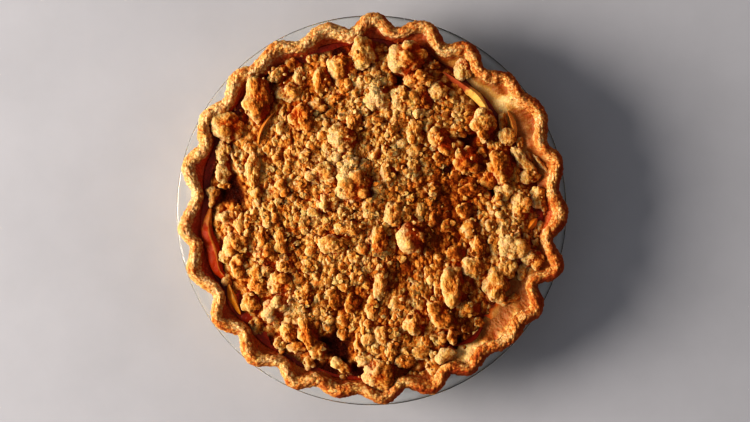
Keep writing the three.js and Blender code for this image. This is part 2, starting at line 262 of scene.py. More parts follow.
def curveThrough(points, count):
    # even run of points on a smooth curve through a few hand-set ones
    p = np.asarray(points, float)
    p = np.vstack([2 * p[0] - p[1], p, 2 * p[-1] - p[-2]])
    spans = len(p) - 3
    out = []
    for t in np.linspace(0, spans, count):
        k = min(int(t), spans - 1)
        u = t - k
        a, b, c, d = p[k:k + 4]
        bend = 2 * a - 5 * b + 4 * c - d
        twist = 3 * b - a - 3 * c + d
        out.append(0.5 * (2 * b + (c - a) * u + bend * u * u + twist * u ** 3))
    return np.array(out)


# Shapes that the pieces share
fluteKnots = [k for f in flutes for k in ((f[0], f[1]), (f[2], f[3]))]
coreKnots = everyStep(coreReach)


def edgeMiddle(angle):
    return between(fluteKnots, angle) * pixelAt(pie["crestHeight"]) - pie["ribbonWidth"] / 2


def edgeSlope(angle):
    step = 0.002
    return np.arctan((edgeMiddle(angle + step) - edgeMiddle(angle - step)) / (2 * step * edgeMiddle(angle)))


def wallAt(angle):
    # inside of the crust at the syrup
    return pie["wallRadius"] + pie["wallFollow"] * (edgeMiddle(angle) - pie["deepestDip"])


def insideAt(angle, height):
    # inside of the crust at a height above the syrup
    wall = wallAt(angle)
    ribbon = edgeMiddle(angle) - pie["ribbonWidth"] / 2 / np.cos(edgeSlope(angle))
    room = pie["crestHeight"] - pie["crestDrop"] - pie["wallHeight"]
    return wall + (ribbon - wall) * np.clip((height - pie["wallHeight"]) / room, 0, 1)


def fillingTop(radius):
    share = np.minimum(1, np.asarray(radius) / pie["wallRadius"])
    return pie["centreHeight"] - (pie["centreHeight"] - pie["edgeHeight"]) * share * share


class Wire:
    # what a node of a finish gives out; sums of wires add the nodes that work them out
    def __init__(self, tree, socket):
        self.tree = tree
        self.socket = socket

    def reckon(self, kind, a, b):
        return addNode(self.tree, "Math", {0: a, 1: b}, operation=kind)

    def __add__(self, other):
        return self.reckon("ADD", self, other)

    def __sub__(self, other):
        return self.reckon("SUBTRACT", self, other)

    def __rsub__(self, other):
        return self.reckon("SUBTRACT", other, self)

    def __mul__(self, other):
        return self.reckon("MULTIPLY", self, other)

    def __pow__(self, other):
        return self.reckon("POWER", self, other)


def plug(socket, value):
    # a wire is linked; a number or a colour is set on the socket itself
    if isinstance(value, Wire):
        value.tree.links.new(value.socket, socket)
    elif socket.type == "RGBA":
        socket.default_value = (*value, 1)
    else:
        socket.default_value = value


def addNode(tree, kind, inputs, output=0, **settings):
    node = tree.nodes.new("ShaderNode" + kind)
    for key, value in settings.items():
        setattr(node, key, value)
    for key, value in inputs.items():
        plug(node.inputs[key], value)
    return Wire(tree, node.outputs[output])


def newFinish(name):
    finish = bpy.data.materials.new(name)
    finish.use_nodes = True
    return finish, finish.node_tree


def dress(finish, inputs):
    # sets or links what the finish's shader takes in
    shader = finish.node_tree.nodes["Principled BSDF"]
    for key, value in inputs.items():
        plug(shader.inputs[key], value)
    return finish


def markNode(tree, name):
    return addNode(tree, "Attribute", {}, "Fac", attribute_name=name)


def noiseNode(tree, scale, detail=3.0, rough=0.55, distortion=0.0):
    place = addNode(tree, "TexCoord", {}, "Object")
    return addNode(tree, "TexNoise", {"Vector": place, "Scale": scale, "Detail": detail, "Roughness": rough,
                                      "Distortion": distortion}, "Fac")


def granuleNode(tree, scale):
    # round grains in the surface: 0 in the middle of each, growing outward
    place = addNode(tree, "TexCoord", {}, "Object")
    return addNode(tree, "TexVoronoi", {"Vector": place, "Scale": scale}, "Distance")


def rampNode(tree, factor, stops):
    node = tree.nodes.new("ShaderNodeValToRGB")
    elements = node.color_ramp.elements
    while len(elements) < len(stops):
        elements.new(0.5)
    for element, (place, colour) in zip(elements, stops):
        element.position = place
        element.color = (*colour, 1)
    plug(node.inputs["Fac"], factor)
    return Wire(tree, node.outputs["Color"])


def mixNode(tree, factor, a, b, kind="MIX"):
    # colour a goes over into colour b as the factor goes from 0 to 1
    return addNode(tree, "Mix", {0: factor, 6: a, 7: b}, 2, data_type="RGBA", blend_type=kind)


def bumpNode(tree, height, depth):
    return addNode(tree, "Bump", {"Distance": depth, "Height": height}, "Normal")


# Baked crumbs and pastry; colours are light values, each run from pale to dark
bakedLook = {
    "crumb": [(0.0, (0.88, 0.635, 0.335)), (0.33, (0.82, 0.475, 0.16)), (0.62, (0.70, 0.262, 0.046)),
              (0.95, (0.29, 0.068, 0.009))],
    # painted shade: a dark red-brown laid into creases, hollows, undersides and the sides facing away from
    # the lamp
    "paintedShade": (0.48, 0.055, 0.004),
    # dark syrup on bare spots and the thin fringe, partly painted shade where those gaps lie in shade
    "juice": (0.075, 0.009, 0.002),
    "crust": [(0.0, (0.88, 0.67, 0.37)), (0.3, (0.80, 0.50, 0.19)), (0.6, (0.62, 0.24, 0.045)),
              (1.0, (0.28, 0.05, 0.005))],
    "inner": [(0.1, (0.86, 0.60, 0.25)), (0.5, (0.64, 0.34, 0.075)), (0.9, (0.34, 0.10, 0.010))],
    "stain": (0.75, 0.018, 0.003),
    "cast": [(0.36, (1.03, 0.99, 0.80)), (0.62, (1.04, 0.94, 0.89))],     # all of it wanders between the two
    # noise over the surface: scale, detail, roughness
    "crumbPatches": (210, 2.0), "crumbSpecks": (2000, 5.0, 0.85), "crumbGranules": (1700, 4.0, 0.8),
    "crustPatches": (120, 3.0), "crustSpecks": (1500, 5.0, 0.85), "crustGranules": (1500, 4.0, 0.75),
    "castPatches": (230, 4.0, 0.65),
    "crumbGlow": 0.35, "crustGlow": 0.3, "crumbRelief": 0.0010, "crustRelief": 0.0007,
}


def castOver(tree, colour):
    # a slow change of warmth over the baked colour
    cast = rampNode(tree, noiseNode(tree, *bakedLook["castPatches"]), bakedLook["cast"])
    return mixNode(tree, 1.0, colour, cast, "MULTIPLY")


def crumbFinish():
    finish, tree = newFinish("crumbFinish")
    patches = noiseNode(tree, *bakedLook["crumbPatches"])
    specks = noiseNode(tree, *bakedLook["crumbSpecks"])
    granules = noiseNode(tree, *bakedLook["crumbGranules"]) - granuleNode(tree, 780)
    paintedShade, juice = markNode(tree, "paintedShade"), markNode(tree, "juice")
    # the toast mark also carries painted shade; the painted shade mark darkens the colour here and lays the
    # shade colour over it below
    bakedAndPaintedShade = markNode(tree, "toastAndPaintedShade") + (patches * 0.5 + specks * 1.25 - 0.93) + paintedShade * 0.31
    colour = castOver(tree, rampNode(tree, bakedAndPaintedShade, bakedLook["crumb"]))
    colour = mixNode(tree, paintedShade ** 1.6, colour, bakedLook["paintedShade"])
    # dark syrup colour on bare spots and the fringe, partly painted shade
    colour = mixNode(tree, juice, colour, bakedLook["juice"])
    return dress(finish, {
        "Base Color": colour, "Roughness": 0.95 - juice * 0.6, "Specular IOR Level": 0.08,
        "Subsurface Weight": bakedLook["crumbGlow"], "Subsurface Radius": (1.0, 0.55, 0.30),
        "Subsurface Scale": 0.0012, "Normal": bumpNode(tree, granules, bakedLook["crumbRelief"]),
    })


def crustFinish():
    finish, tree = newFinish("crustFinish")
    patches = noiseNode(tree, *bakedLook["crustPatches"])
    specks = noiseNode(tree, *bakedLook["crustSpecks"])
    granules = noiseNode(tree, *bakedLook["crustGranules"]) - granuleNode(tree, 800)
    inner = markNode(tree, "inner")
    # the toast mark here carries painted shade on the right side and in creases
    bakedAndPaintedShade = markNode(tree, "toastAndPaintedShade") + (patches * 0.9 + specks * 0.7 - 0.82)
    colour = castOver(tree, rampNode(tree, bakedAndPaintedShade, bakedLook["crust"]))
    wet = rampNode(tree, markNode(tree, "caramel") + patches * 0.8 - 0.4, bakedLook["inner"])
    wet = mixNode(tree, markNode(tree, "stain"), wet, bakedLook["stain"])
    colour = mixNode(tree, inner * 0.85, colour, wet)
    # painted shade in the crust's creases and on its sides facing away from the lamp
    colour = mixNode(tree, markNode(tree, "paintedShade"), colour, bakedLook["paintedShade"])
    return dress(finish, {
        "Base Color": colour, "Roughness": 0.72 - inner * 0.34, "Specular IOR Level": 0.25,
        "Subsurface Weight": bakedLook["crustGlow"], "Subsurface Radius": (1.0, 0.5, 0.25),
        "Subsurface Scale": 0.0015,
        "Normal": bumpNode(tree, granules * (1.0 - inner * 0.6), bakedLook["crustRelief"]),
    })


syrupLook = {
    "juice": [(0.0, (0.17, 0.012, 0.001)), (0.45, (0.58, 0.050, 0.003)), (0.75, (0.72, 0.17, 0.012)),
              (1.0, (0.64, 0.30, 0.075))],     # dark syrup, red, orange, apple
    "cloud": 0.5, "roughness": 0.2, "coat": 0.25, "coatRoughness": 0.08, "ripple": 0.0008,
}


def syrupFinish():
    finish, tree = newFinish("syrupFinish")
    cloud = (noiseNode(tree, 160, 3.0) - 0.5) * syrupLook["cloud"]
    return dress(finish, {
        "Base Color": rampNode(tree, markNode(tree, "juice") + cloud, syrupLook["juice"]),
        "Roughness": syrupLook["roughness"], "Specular IOR Level": 0.3,
        "Coat Weight": syrupLook["coat"], "Coat Roughness": syrupLook["coatRoughness"],
        "Normal": bumpNode(tree, noiseNode(tree, 420, 3.0), syrupLook["ripple"]),
    })


appleLook = {"streak": 0.7, "roughness": 0.4, "glow": 0.15, "glowDepth": 0.002, "ripple": 0.0004}


def appleFinish(name, flesh, skin):
    finish, tree = newFinish(name)
    streaks = (noiseNode(tree, 260, 3.0, 0.6, 1.0) - 0.5) * appleLook["streak"]
    return dress(finish, {
        "Base Color": rampNode(tree, markNode(tree, "skin") + streaks, [(0.2, flesh), (0.75, skin)]),
        "Roughness": appleLook["roughness"], "Specular IOR Level": 0.12,
        "Subsurface Weight": appleLook["glow"], "Subsurface Scale": appleLook["glowDepth"],
        "Normal": bumpNode(tree, noiseNode(tree, 700, 3.0), appleLook["ripple"]),
    })


glassLook = {"colour": (0.97, 0.985, 0.975), "shadow": (0.86, 0.88, 0.87), "roughness": 0.02, "index": 1.47}


def glassFinish():
    # clear glass; light passes through it to what lies behind
    finish, tree = newFinish("glassFinish")
    dress(finish, {
        "Base Color": glassLook["colour"], "Transmission Weight": 1.0, "Roughness": glassLook["roughness"],
        "IOR": glassLook["index"], "Normal": bumpNode(tree, noiseNode(tree, 30, 1.0), 0.0003),
    })
    shine = Wire(tree, tree.nodes["Principled BSDF"].outputs["BSDF"])
    clear = addNode(tree, "BsdfTransparent", {"Color": glassLook["shadow"]}, "BSDF")
    onShadow = addNode(tree, "LightPath", {}, "Is Shadow Ray")
    plug(tree.nodes["Material Output"].inputs["Surface"],
         addNode(tree, "MixShader", {"Fac": onShadow, 1: shine, 2: clear}, "Shader"))
    return finish


floorLook = {"clouds": [(0.3, (0.455, 0.438, 0.450)), (0.7, (0.505, 0.486, 0.500))], "roughness": 0.9}


def floorFinish():
    finish, tree = newFinish("floorFinish")
    return dress(finish, {
        "Base Color": rampNode(tree, noiseNode(tree, 9, 5.0, 0.6), floorLook["clouds"]),
        "Roughness": floorLook["roughness"], "Specular IOR Level": 0.1,
    })


# Glass dish: radius and height, outside from the floor up, over the rim and down inside
dishPlan = {
    "outside": [(60, 0.0), (84.5, 0.0), (87.5, 0.7), (89.9, 2.2), (91.6, 4.4), (101.2, 18.0), (109.6, 30.2),
                (112.1, 32.6), (115.2, 33.7), (118.6, 34.0), (120.0, 34.9), (120.5, 36.3), (119.9, 37.6),
                (118.2, 38.0)],
    "inside": [(114.6, 37.9), (111.4, 37.7), (109.6, 37.0), (108.4, 35.7), (98.2, 21.0), (88.2, 7.1),
               (86.6, 5.6), (84.3, 4.8), (60, 4.6)],
    "outsideRows": 46, "insideRows": 34, "steps": 288,
}


def makeDish():
    plan = dishPlan
    outside = curveThrough(plan["outside"], plan["outsideRows"])
    inside = curveThrough(plan["inside"], plan["insideRows"])
    rows = np.vstack([outside, inside])
    radius = np.repeat(rows[:, :1], plan["steps"], axis=1)
    height = np.maximum(np.repeat(rows[:, 1:], plan["steps"], axis=1), 0)
    settle(addMesh("glassDish", *turnedPiece(radius, height)), glassFinish(), "dish")


crustPlan = {
    "steps": 1200,
    # radius and height of the pastry on the glass: floor, foot and top of the wall, on the rim
    "lining": [(30, 4.4), (60, 4.4), (84.5, 4.4)], "liningFoot": (86.9, 5.7), "liningTop": (108.75, 36.0),
    "liningRows": 9, "onRim": (109.9, 37.3), "rimReach": 111.3,
    # cross-section of the pinched edge: offset from its middle in edge widths, and height
    "ribbon": [(0.30, 38.15), (0.44, 39.6), (0.53, 42.6), (0.50, 45.8), (0.36, 48.5), (0.10, 50.2),
               (-0.14, 50.2), (-0.36, 48.6), (-0.47, 46.4), (-0.50, 44.6)],
    "ribbonRows": 40,
    "scoopRows": 14,
    # under the filling: foot of the pastry's inside, and its floor
    "bowlFoot": (82, 10.5), "bowlFloor": [(60, 9.0), (30, 9.0)],
    "swell": 0.7,            # the edge stands this much higher or lower along its run
    "lump": 1.2, "lumpCell": 5.0,
    "grain": 0.80, "grainCell": 2.6,
    "grit": 0.46, "gritCell": 1.35,
    "ragged": 0.5, "raggedCell": 1.7,
    # how grainy the slope inside the edge is: degrees and share
    "sleek": [(0, 0.8), (18, 0.25), (62, 0.25), (80, 0.8), (180, 0.8), (280, 0.8), (300, 0.55), (335, 0.55),
              (350, 0.8)],
    # how far the baked slope reaches in over the filling: degrees and millimetres
    "slope": [(0, 0), (14, 2), (24, 7.5), (38, 7), (50, 5.5), (62, 3.5), (72, 0.5), (100, 0), (112, 1),
              (140, 0), (180, 0), (225, 0), (250, 1), (270, 0), (290, 1.5), (302, 6), (318, 10), (332, 10),
              (345, 3), (352, 0)],
    # how far the upper part of the slope is browned: degrees and share; the high shares round the left, where
    # the slope faces away from the lamp, are partly painted shade
    "browned": [(0, 0.7), (60, 0.75), (100, 0.9), (180, 0.8), (215, 1.0), (275, 1.0), (292, 0.45),
                (330, 0.5), (345, 0.7)],
    # paler and browner places of the slope, partly toast and partly painted light and shade: x, y, radius in
    # pixels, share
    "patches": [
        (527, 129, 13, 1.5), (508, 99, 13, -0.35), (499, 91, 6, 1.7), (540, 150, 10, 0.7),
        (478, 354, 9, -1.5), (490, 337, 8, 0.9), (509, 327, 5, -0.6), (500, 318, 12, 0.5),
        (524, 300, 10, 0.4), (545, 216, 10, 2.4), (552, 262, 8, 0.8), (500, 311, 9, 0.7),
        (516, 287, 11, 0.9), (505, 320, 10, 0.5), (488, 328, 7, 1.1), (240, 325, 9, -0.7),
        (300, 367, 9, -0.7), (226, 300, 7, -0.5), (344, 40, 8, 0.6), (418, 38, 12, 1.4), (436, 52, 10, 1.2),
    ],
    # pale folds along the slope, their paleness partly painted light on lit ridges: ends and half width in
    # pixels, rise in mm
    "folds": [((466, 362), (488, 341), 4.5, 1.8), ((499, 340), (517, 315), 4.5, 1.8),
              ((497, 92), (520, 108), 4, 0.8)],
    # where the inside is dark with juice: degrees and share
    "stain": [(0, 0.4), (14, 0), (58, 0), (70, 0.3), (85, 0.5), (108, 0.4), (130, 0.45), (152, 0.8),
              (205, 0.8), (220, 0.35), (250, 0.2), (278, 0.3), (296, 0), (340, 0)],
}


def crustRings(plan):
    # rings from the middle of the dish's floor up the glass, over the edge and down into the bowl
    steps = plan["steps"]
    angle = evenTurn(steps)
    middle, slope = edgeMiddle(angle), edgeSlope(angle)
    swell = plan["swell"] * (np.sin(3 * angle + 1) + np.sin(7 * angle)) * 0.5
    out = (middle - middle.mean()) / 5.0                      # 1 on an outward flute, -1 in a dip
    width = pie["ribbonWidth"] * (1 + 0.06 * out + 0.05 * np.sin(11 * angle + 2))
    browned, sleek = between(plan["browned"], angle), between(plan["sleek"], angle)
    rows = []

    def addRow(radius, height, shift=0, edge=0, caramel=0):
        row = [np.broadcast_to(value, steps) for value in (radius, height, shift, edge, caramel)]
        rows.append(row)

    for radius, height in plan["lining"]:
        addRow(radius, height)
    (footRadius, footLow), (topRadius, topHigh) = plan["liningFoot"], plan["liningTop"]
    for t in np.linspace(0, 1, plan["liningRows"]):
        addRow(footRadius + t * (topRadius - footRadius), footLow + t * (topHigh - footLow))
    addRow(*plan["onRim"])
    for k, (offset, z) in enumerate(curveThrough(plan["ribbon"], plan["ribbonRows"])):
        outward = middle + offset * width * np.cos(slope)
        aside = -offset * width * np.sin(slope)
        lean = 0.9 * smooth(42, 50, z) * np.clip(out, -1, 1) * 0.5
        reach = np.maximum(np.hypot(outward, aside) + lean, plan["rimReach"] if k < 3 else 0)
        rough = float(smooth(38.5, 40.5, z))
        addRow(reach, z + swell * smooth(39, 47, z), np.arctan2(aside, outward), rough, browned)
    scoopStart = len(rows) - 2
    ribbonIn, ribbonFoot, turned = rows[-1][:3]
    inward = between(plan["slope"], angle)
    foot = wallAt(angle) - inward
    steep = smooth(5, 1, inward)
    footHeight = fillingTop(foot) + np.where(inward > 0.8, 0.35, -0.5)
    for t in np.linspace(0, 1, plan["scoopRows"] + 1)[1:]:
        # from the foot of the ribbon down into the bowl, a hollow scoop behind each flute
        fall = 1 - (1 - t) ** 1.5
        rough = (0.9 - 0.25 * t) * (1 + (sleek - 1) * smooth(0.0, 0.4, t))
        pale = browned + (0.1 - browned) * smooth(0.15, 0.6, t) + 0.6 * smooth(0.75, 1.0, t) * (1.2 - browned)
        addRow(ribbonIn + (foot - ribbonIn) * t ** 0.8, ribbonFoot + (footHeight - ribbonFoot) * fall,
               turned * (1 - t), rough, pale + (browned + 0.25 - pale) * steep)
    bowlRadius, bowlHeight = plan["bowlFoot"]
    for t in np.linspace(0, 1, 5)[1:]:
        addRow(foot + (bowlRadius - foot) * t, footHeight + (bowlHeight - footHeight) * t, 0, 0, browned)
    for radius, height in plan["bowlFloor"]:
        addRow(radius, height)
    return np.array(rows).transpose(1, 0, 2), scoopStart


def makeCrust():
    plan = crustPlan
    (radius, height, shift, edge, caramel), scoopStart = crustRings(plan)
    points, triangles = turnedPiece(radius, height, shift)
    mask, caramel = np.append(edge, [0, 0]), np.append(caramel, [0, 0])
    lump = softNoise(points, plan["lumpCell"], 3) + 0.5 * softNoise(points, plan["lumpCell"] * 0.45, 4)
    grain, shade, crease = grains(points, plan["grainCell"], 11)
    grit, gritShade, gritCrease = grains(points, plan["gritCell"], 21)
    ragged = cracks(points, plan["raggedCell"], 35) - 0.4 * np.abs(softNoise(points, 0.9, 36))
    push = plan["lump"] * lump * 0.7 + plan["grain"] * (grain - 0.6) + plan["grit"] * (grit - 0.5)
    push = push + plan["ragged"] * ragged
    free = smooth(39.5, 42, points[:, 2])                      # above the glass rim
    points = points + outwardOf(points, triangles) * (push * mask * (0.3 + 0.7 * free))[:, None]
    x, y, z = points.T
    heading = np.arctan2(y, x)
    facing = outwardOf(points, triangles)
    crest = smooth(45.5, 50, z)
    outer = smooth(0.6, 3.2, np.hypot(x, y) - edgeMiddle(heading))
    shady = 0.5 + 0.5 * np.cos(heading + 0.5)                  # 1 on the right, away from the lamp: painted shade there, on top of the crust's toast
    patch = smooth(-0.3, 0.9, softNoise(points, 9, 31))
    # the shady shares, the creases and the sides facing away from the lamp make part of this toast painted
    # shade
    toastAndPaintedShade = 0.13 + (0.10 + 0.22 * shady) * crest * smooth(-0.5, 0.8, lump)
    toastAndPaintedShade += outer * (0.22 + 0.75 * shady) * (0.45 + 0.55 * patch)
    toastAndPaintedShade += 0.24 * (shade - 0.45) + 0.14 * (gritShade - 0.5) + 0.22 * crease
    toastAndPaintedShade += (0.14 + 0.24 * shady) * patch + 0.21 * shady - 0.05 + 0.16 * facing[:, 0]
    toastAndPaintedShade = np.where(z < 38.6, 0.10 + 0.12 * lump, toastAndPaintedShade)
    inner = np.append(np.repeat(np.arange(len(radius)) >= scoopStart, plan["steps"]), [False, False])
    inner = inner * smooth(47.5, 43.5, z) * smooth(8, 30, z)
    # painted shade in creases, on sides facing away from the lamp and on sides turned downward
    paintedShade = (0.45 * crease + 0.15 * gritCrease) * mask * (0.45 + 0.55 * free)
    paintedShade = paintedShade + 0.24 * smooth(0.1, 0.9, facing[:, 0]) * mask + 0.10 * smooth(0.75, 0.2, facing[:, 2]) * mask
    # the shady share adds painted shade to the slope's caramel
    caramel = caramel + 0.25 * softNoise(points, 8, 33) + 0.12 * shady
    slopeHeight = pie["slopeHeight"]
    for place in plan["patches"]:
        caramel = caramel + place[3] * softPatch(x, y, place, slopeHeight)
    for start, end, reach, rise in plan["folds"]:
        a, b = np.array(placeOf(*start, slopeHeight)), np.array(placeOf(*end, slopeHeight))
        along = np.clip(((points[:, :2] - a) @ (b - a)) / ((b - a) @ (b - a)), 0, 1)
        away = np.hypot(*(points[:, :2] - a - along[:, None] * (b - a)).T) / (reach * pixelAt(slopeHeight))
        points[:, 2] += rise * np.exp(-away ** 2) * inner
        # paler along each fold: partly painted light
        caramel = caramel - 0.9 * np.exp(-2 * away ** 2)
    stain = between(plan["stain"], heading)
    marks = {"toastAndPaintedShade": toastAndPaintedShade, "inner": inner, "paintedShade": paintedShade, "stain": stain, "caramel": caramel}
    settle(addMesh("pastryCrust", points, triangles, marks), crustFinish(), "crust")


fillingPlan = {
    "steps": 720,
    # radius and height of its hidden bottom, and of its side up to the syrup
    "bottom": [(40.0, 8.9), (81.0, 9.0)], "side": [(84.0, 10.6), 40.1], "sideShares": (0.0, 0.3, 0.6, 0.85),
    # rings of the top as shares of the wall's radius, close together where it shows
    "rings": (1.006, 1.0, 0.993, 0.985, 0.977, 0.969, 0.96, 0.95, 0.94, 0.93, 0.92, 0.91, 0.90, 0.885, 0.87,
              0.85, 0.82, 0.78, 0.7, 0.6, 0.45, 0.3, 0.15),
    # lumps of cooked apple under the syrup: x, y, half length, half width in pixels, turn, rise in mm, juice
    "lumps": [
        (205, 240, 34, 8, 84, 0.6, 0.7), (207, 172, 10, 16, 0, -0.6, 0.1), (262, 333, 13, 8, 30, 1.6, 0.2),
        (247, 318, 10, 6, -45, 0.8, 0.3), (498, 312, 12, 9, 35, 1.8, 1.0), (491, 327, 10, 7, 40, 1.6, 0.95),
        (512, 299, 14, 5, 15, 1.6, 0.95), (498, 96, 12, 8, -50, 1.0, 0.95), (522, 128, 7, 14, 0, 0.8, 0.4),
        (335, 60, 16, 7, 20, 0.8, 0.1), (383, 45, 18, 6, 0, 0.6, 0.1), (545, 222, 5, 14, 0, 0.4, 0.05),
        (352, 380, 18, 6, -15, 0.6, 0.2), (232, 300, 6, 20, -15, 0.6, 0.55),
        (417, 374, 14, 6, 10, 0.5, 0.3),
    ],
}


def makeFilling():
    plan = fillingPlan
    steps = plan["steps"]
    angle = evenTurn(steps)
    wall = wallAt(angle)
    rows = [(np.full(steps, radius), np.full(steps, height)) for radius, height in plan["bottom"]]
    (footRadius, footHeight), sideTop = plan["side"]
    for share in plan["sideShares"]:
        height = np.full(steps, footHeight + (sideTop - footHeight) * share)
        rows.append((footRadius + (wall - footRadius) * share, height))
    hidden = len(rows)
    for reach in plan["rings"]:
        uneven = 0.5 * np.sin(5 * angle + 2) * np.cos(8 * angle) * smooth(0.8, 1, reach)
        rows.append((wall * reach, fillingTop(wall * reach) + uneven))
    points, triangles = turnedPiece(*np.array(rows).transpose(1, 0, 2))
    top = np.append(np.repeat(np.arange(len(rows)) >= hidden, steps), [False, True])
    juice = 0.10 + 0.10 * softNoise(points, 12, 43)
    rise = 0.55 * (0.7 * softNoise(points, 9, 41) + 0.35 * softNoise(points, 4, 42))
    size = pixelAt(pie["edgeHeight"])
    for x, y, halfLong, halfWide, turn, lift, tint in plan["lumps"]:
        cx, cy = placeOf(x, y, pie["edgeHeight"])
        c, s = math.cos(math.radians(turn)), math.sin(math.radians(turn))
        dx, dy = points[:, 0] - cx, points[:, 1] - cy
        away = ((dx * c + dy * s) / (halfLong * size)) ** 2 + ((dy * c - dx * s) / (halfWide * size)) ** 2
        near = np.exp(-away * 1.1)
        rise = rise + lift * near
        juice = juice + (tint - juice) * np.clip(near * 1.3, 0, 1)
    heading = np.arctan2(points[:, 1], points[:, 0])
    cling = smooth(0.975, 1.0, np.hypot(points[:, 0], points[:, 1]) / insideAt(heading, pie["edgeHeight"]))
    points[:, 2] += np.where(top, rise * (1 - 0.6 * cling) + 0.5 * cling, 0)
    filling = addMesh("appleFilling", points, triangles, {"juice": juice})
    settle(filling, syrupFinish(), "filling")


# Apple slices: line through the middle (photo pixels), width in pixels along it, height in mm, lean, share of
# the length that shows its peel, and colours of flesh and peel
slicePlans = [
    {"line": [(209, 206), (206, 230), (208.5, 252), (216, 271), (225, 284)], "width": [9, 15, 16, 13, 8],
     "height": 6.6, "lean": 24, "peel": (0, 0.2), "flesh": (0.40, 0.042, 0.002), "skin": (0.52, 0.17, 0.03)},
    {"line": [(228, 283), (232, 297), (240, 315)], "width": [6, 9, 7],
     "height": 6.4, "lean": 25, "peel": (0, 0), "flesh": (0.78, 0.30, 0.025), "skin": (0.72, 0.38, 0.10)},
    {"line": [(443, 72), (460, 84), (477, 97), (489, 114)], "width": [5, 8, 11, 9],
     "height": 8.4, "lean": 10, "peel": (0, 0.5), "flesh": (0.78, 0.46, 0.12), "skin": (0.40, 0.09, 0.030)},
    {"line": [(508, 111), (513, 123), (516, 137)], "width": [4, 6, 7],
     "height": 7.6, "lean": -12, "peel": (0, 0), "flesh": (0.74, 0.34, 0.08), "skin": (0.6, 0.2, 0.04)},
    {"line": [(527, 230), (532, 224), (537, 218)], "width": [7, 8, 7],
     "height": 7.0, "lean": 0, "peel": (0, 0), "flesh": (0.66, 0.22, 0.025), "skin": (0.56, 0.20, 0.03)},
    {"line": [(276, 110), (266, 122), (260, 134), (258, 147)], "width": [3, 4.5, 4.5, 3],
     "height": 12.0, "lean": 6, "peel": (0, 0), "flesh": (0.60, 0.24, 0.05), "skin": (0.55, 0.20, 0.035)},
    {"line": [(449, 346), (466, 342), (475, 337), (482, 327)], "width": [4, 5, 5, 4],
     "height": 7.6, "lean": -15, "peel": (0, 1), "flesh": (0.20, 0.02, 0.005), "skin": (0.11, 0.010, 0.004)},
]


def makeSlice(number, plan):
    steps, sides = ((72, 36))
    level = float(fillingTop(pie["wallRadius"] * 0.95)) + plan["height"] * 0.28
    along = np.linspace(0, 1, steps)
    widths = np.interp(along, np.linspace(0, 1, len(plan["width"])), plan["width"])
    half = widths * pixelAt(level) / 2
    line = []
    for x, y in plan["line"]:
        px, py = placeOf(x, y, level)
        room = float(insideAt(math.atan2(py, px), level)) - half.max() - 0.5
        keep = min(1, room / math.hypot(px, py))
        line.append((px * keep, py * keep, level))
    path = curveThrough(line, steps)
    tangent = unit(np.gradient(path, axis=0))
    side = np.cross(tangent, [0, 0, 1.0])
    up = np.cross(side, tangent)
    full = 0.10 + 0.90 * np.sin(np.pi * np.clip(along, 0.004, 0.996)) ** 0.55
    turn = evenTurn(sides)
    across, rise = np.cos(turn), np.sin(turn)
    narrow = np.where(rise > 0, 1 - 0.62 * rise ** 1.3, 1)     # a wedge: fat at the foot, a thin edge on top
    lean = math.radians(plan["lean"])
    u = across * narrow * (half * full)[:, None]
    v = rise * plan["height"] / 2 * full[:, None]
    sideways = u * math.cos(lean) - v * math.sin(lean)
    upward = u * math.sin(lean) * 0.5 + v * math.cos(lean)
    points = path[:, None] + sideways[:, :, None] * side[:, None] + upward[:, :, None] * up[:, None]
    points = points.reshape(-1, 3)
    peelFrom, peelTo = plan["peel"]
    peeled = smooth(peelFrom - 0.1, peelFrom + 0.1, along) * smooth(peelTo + 0.1, peelTo - 0.1, along)
    onTop = smooth(0.90, 1.0, rise) * (peelTo <= 0.3)          # peel along the thin edge
    skin = np.maximum((peeled * (peelTo > peelFrom))[:, None], onTop).reshape(-1)
    skin = np.clip(skin + 0.5 * softNoise(points, 1.6, 61), 0, 1)
    ends = [path[0] - tangent[0] * half[0] * 0.05, path[-1] + tangent[-1] * half[-1] * 0.05]
    points, triangles = closedTube(points, sides, ends)
    corner = points[triangles]
    volume = np.einsum("ij,ij->i", corner[:, 0], np.cross(corner[:, 1], corner[:, 2])).sum()
    if volume < 0:
        triangles = triangles[:, ::-1]
    lumpy = 0.35 * softNoise(points, 4.5, 50 + number) + 0.12 * softNoise(points, 1.6, 60)
    points = points + outwardOf(points, triangles) * lumpy[:, None]
    name = f"appleSlice{number}"
    finish = appleFinish(name + "Finish", plan["flesh"], plan["skin"])
    piece = addMesh(name, points, triangles, {"skin": np.append(skin, [0.5, 0.5])})
    settle(piece, finish, f"apple_slice_{number}")


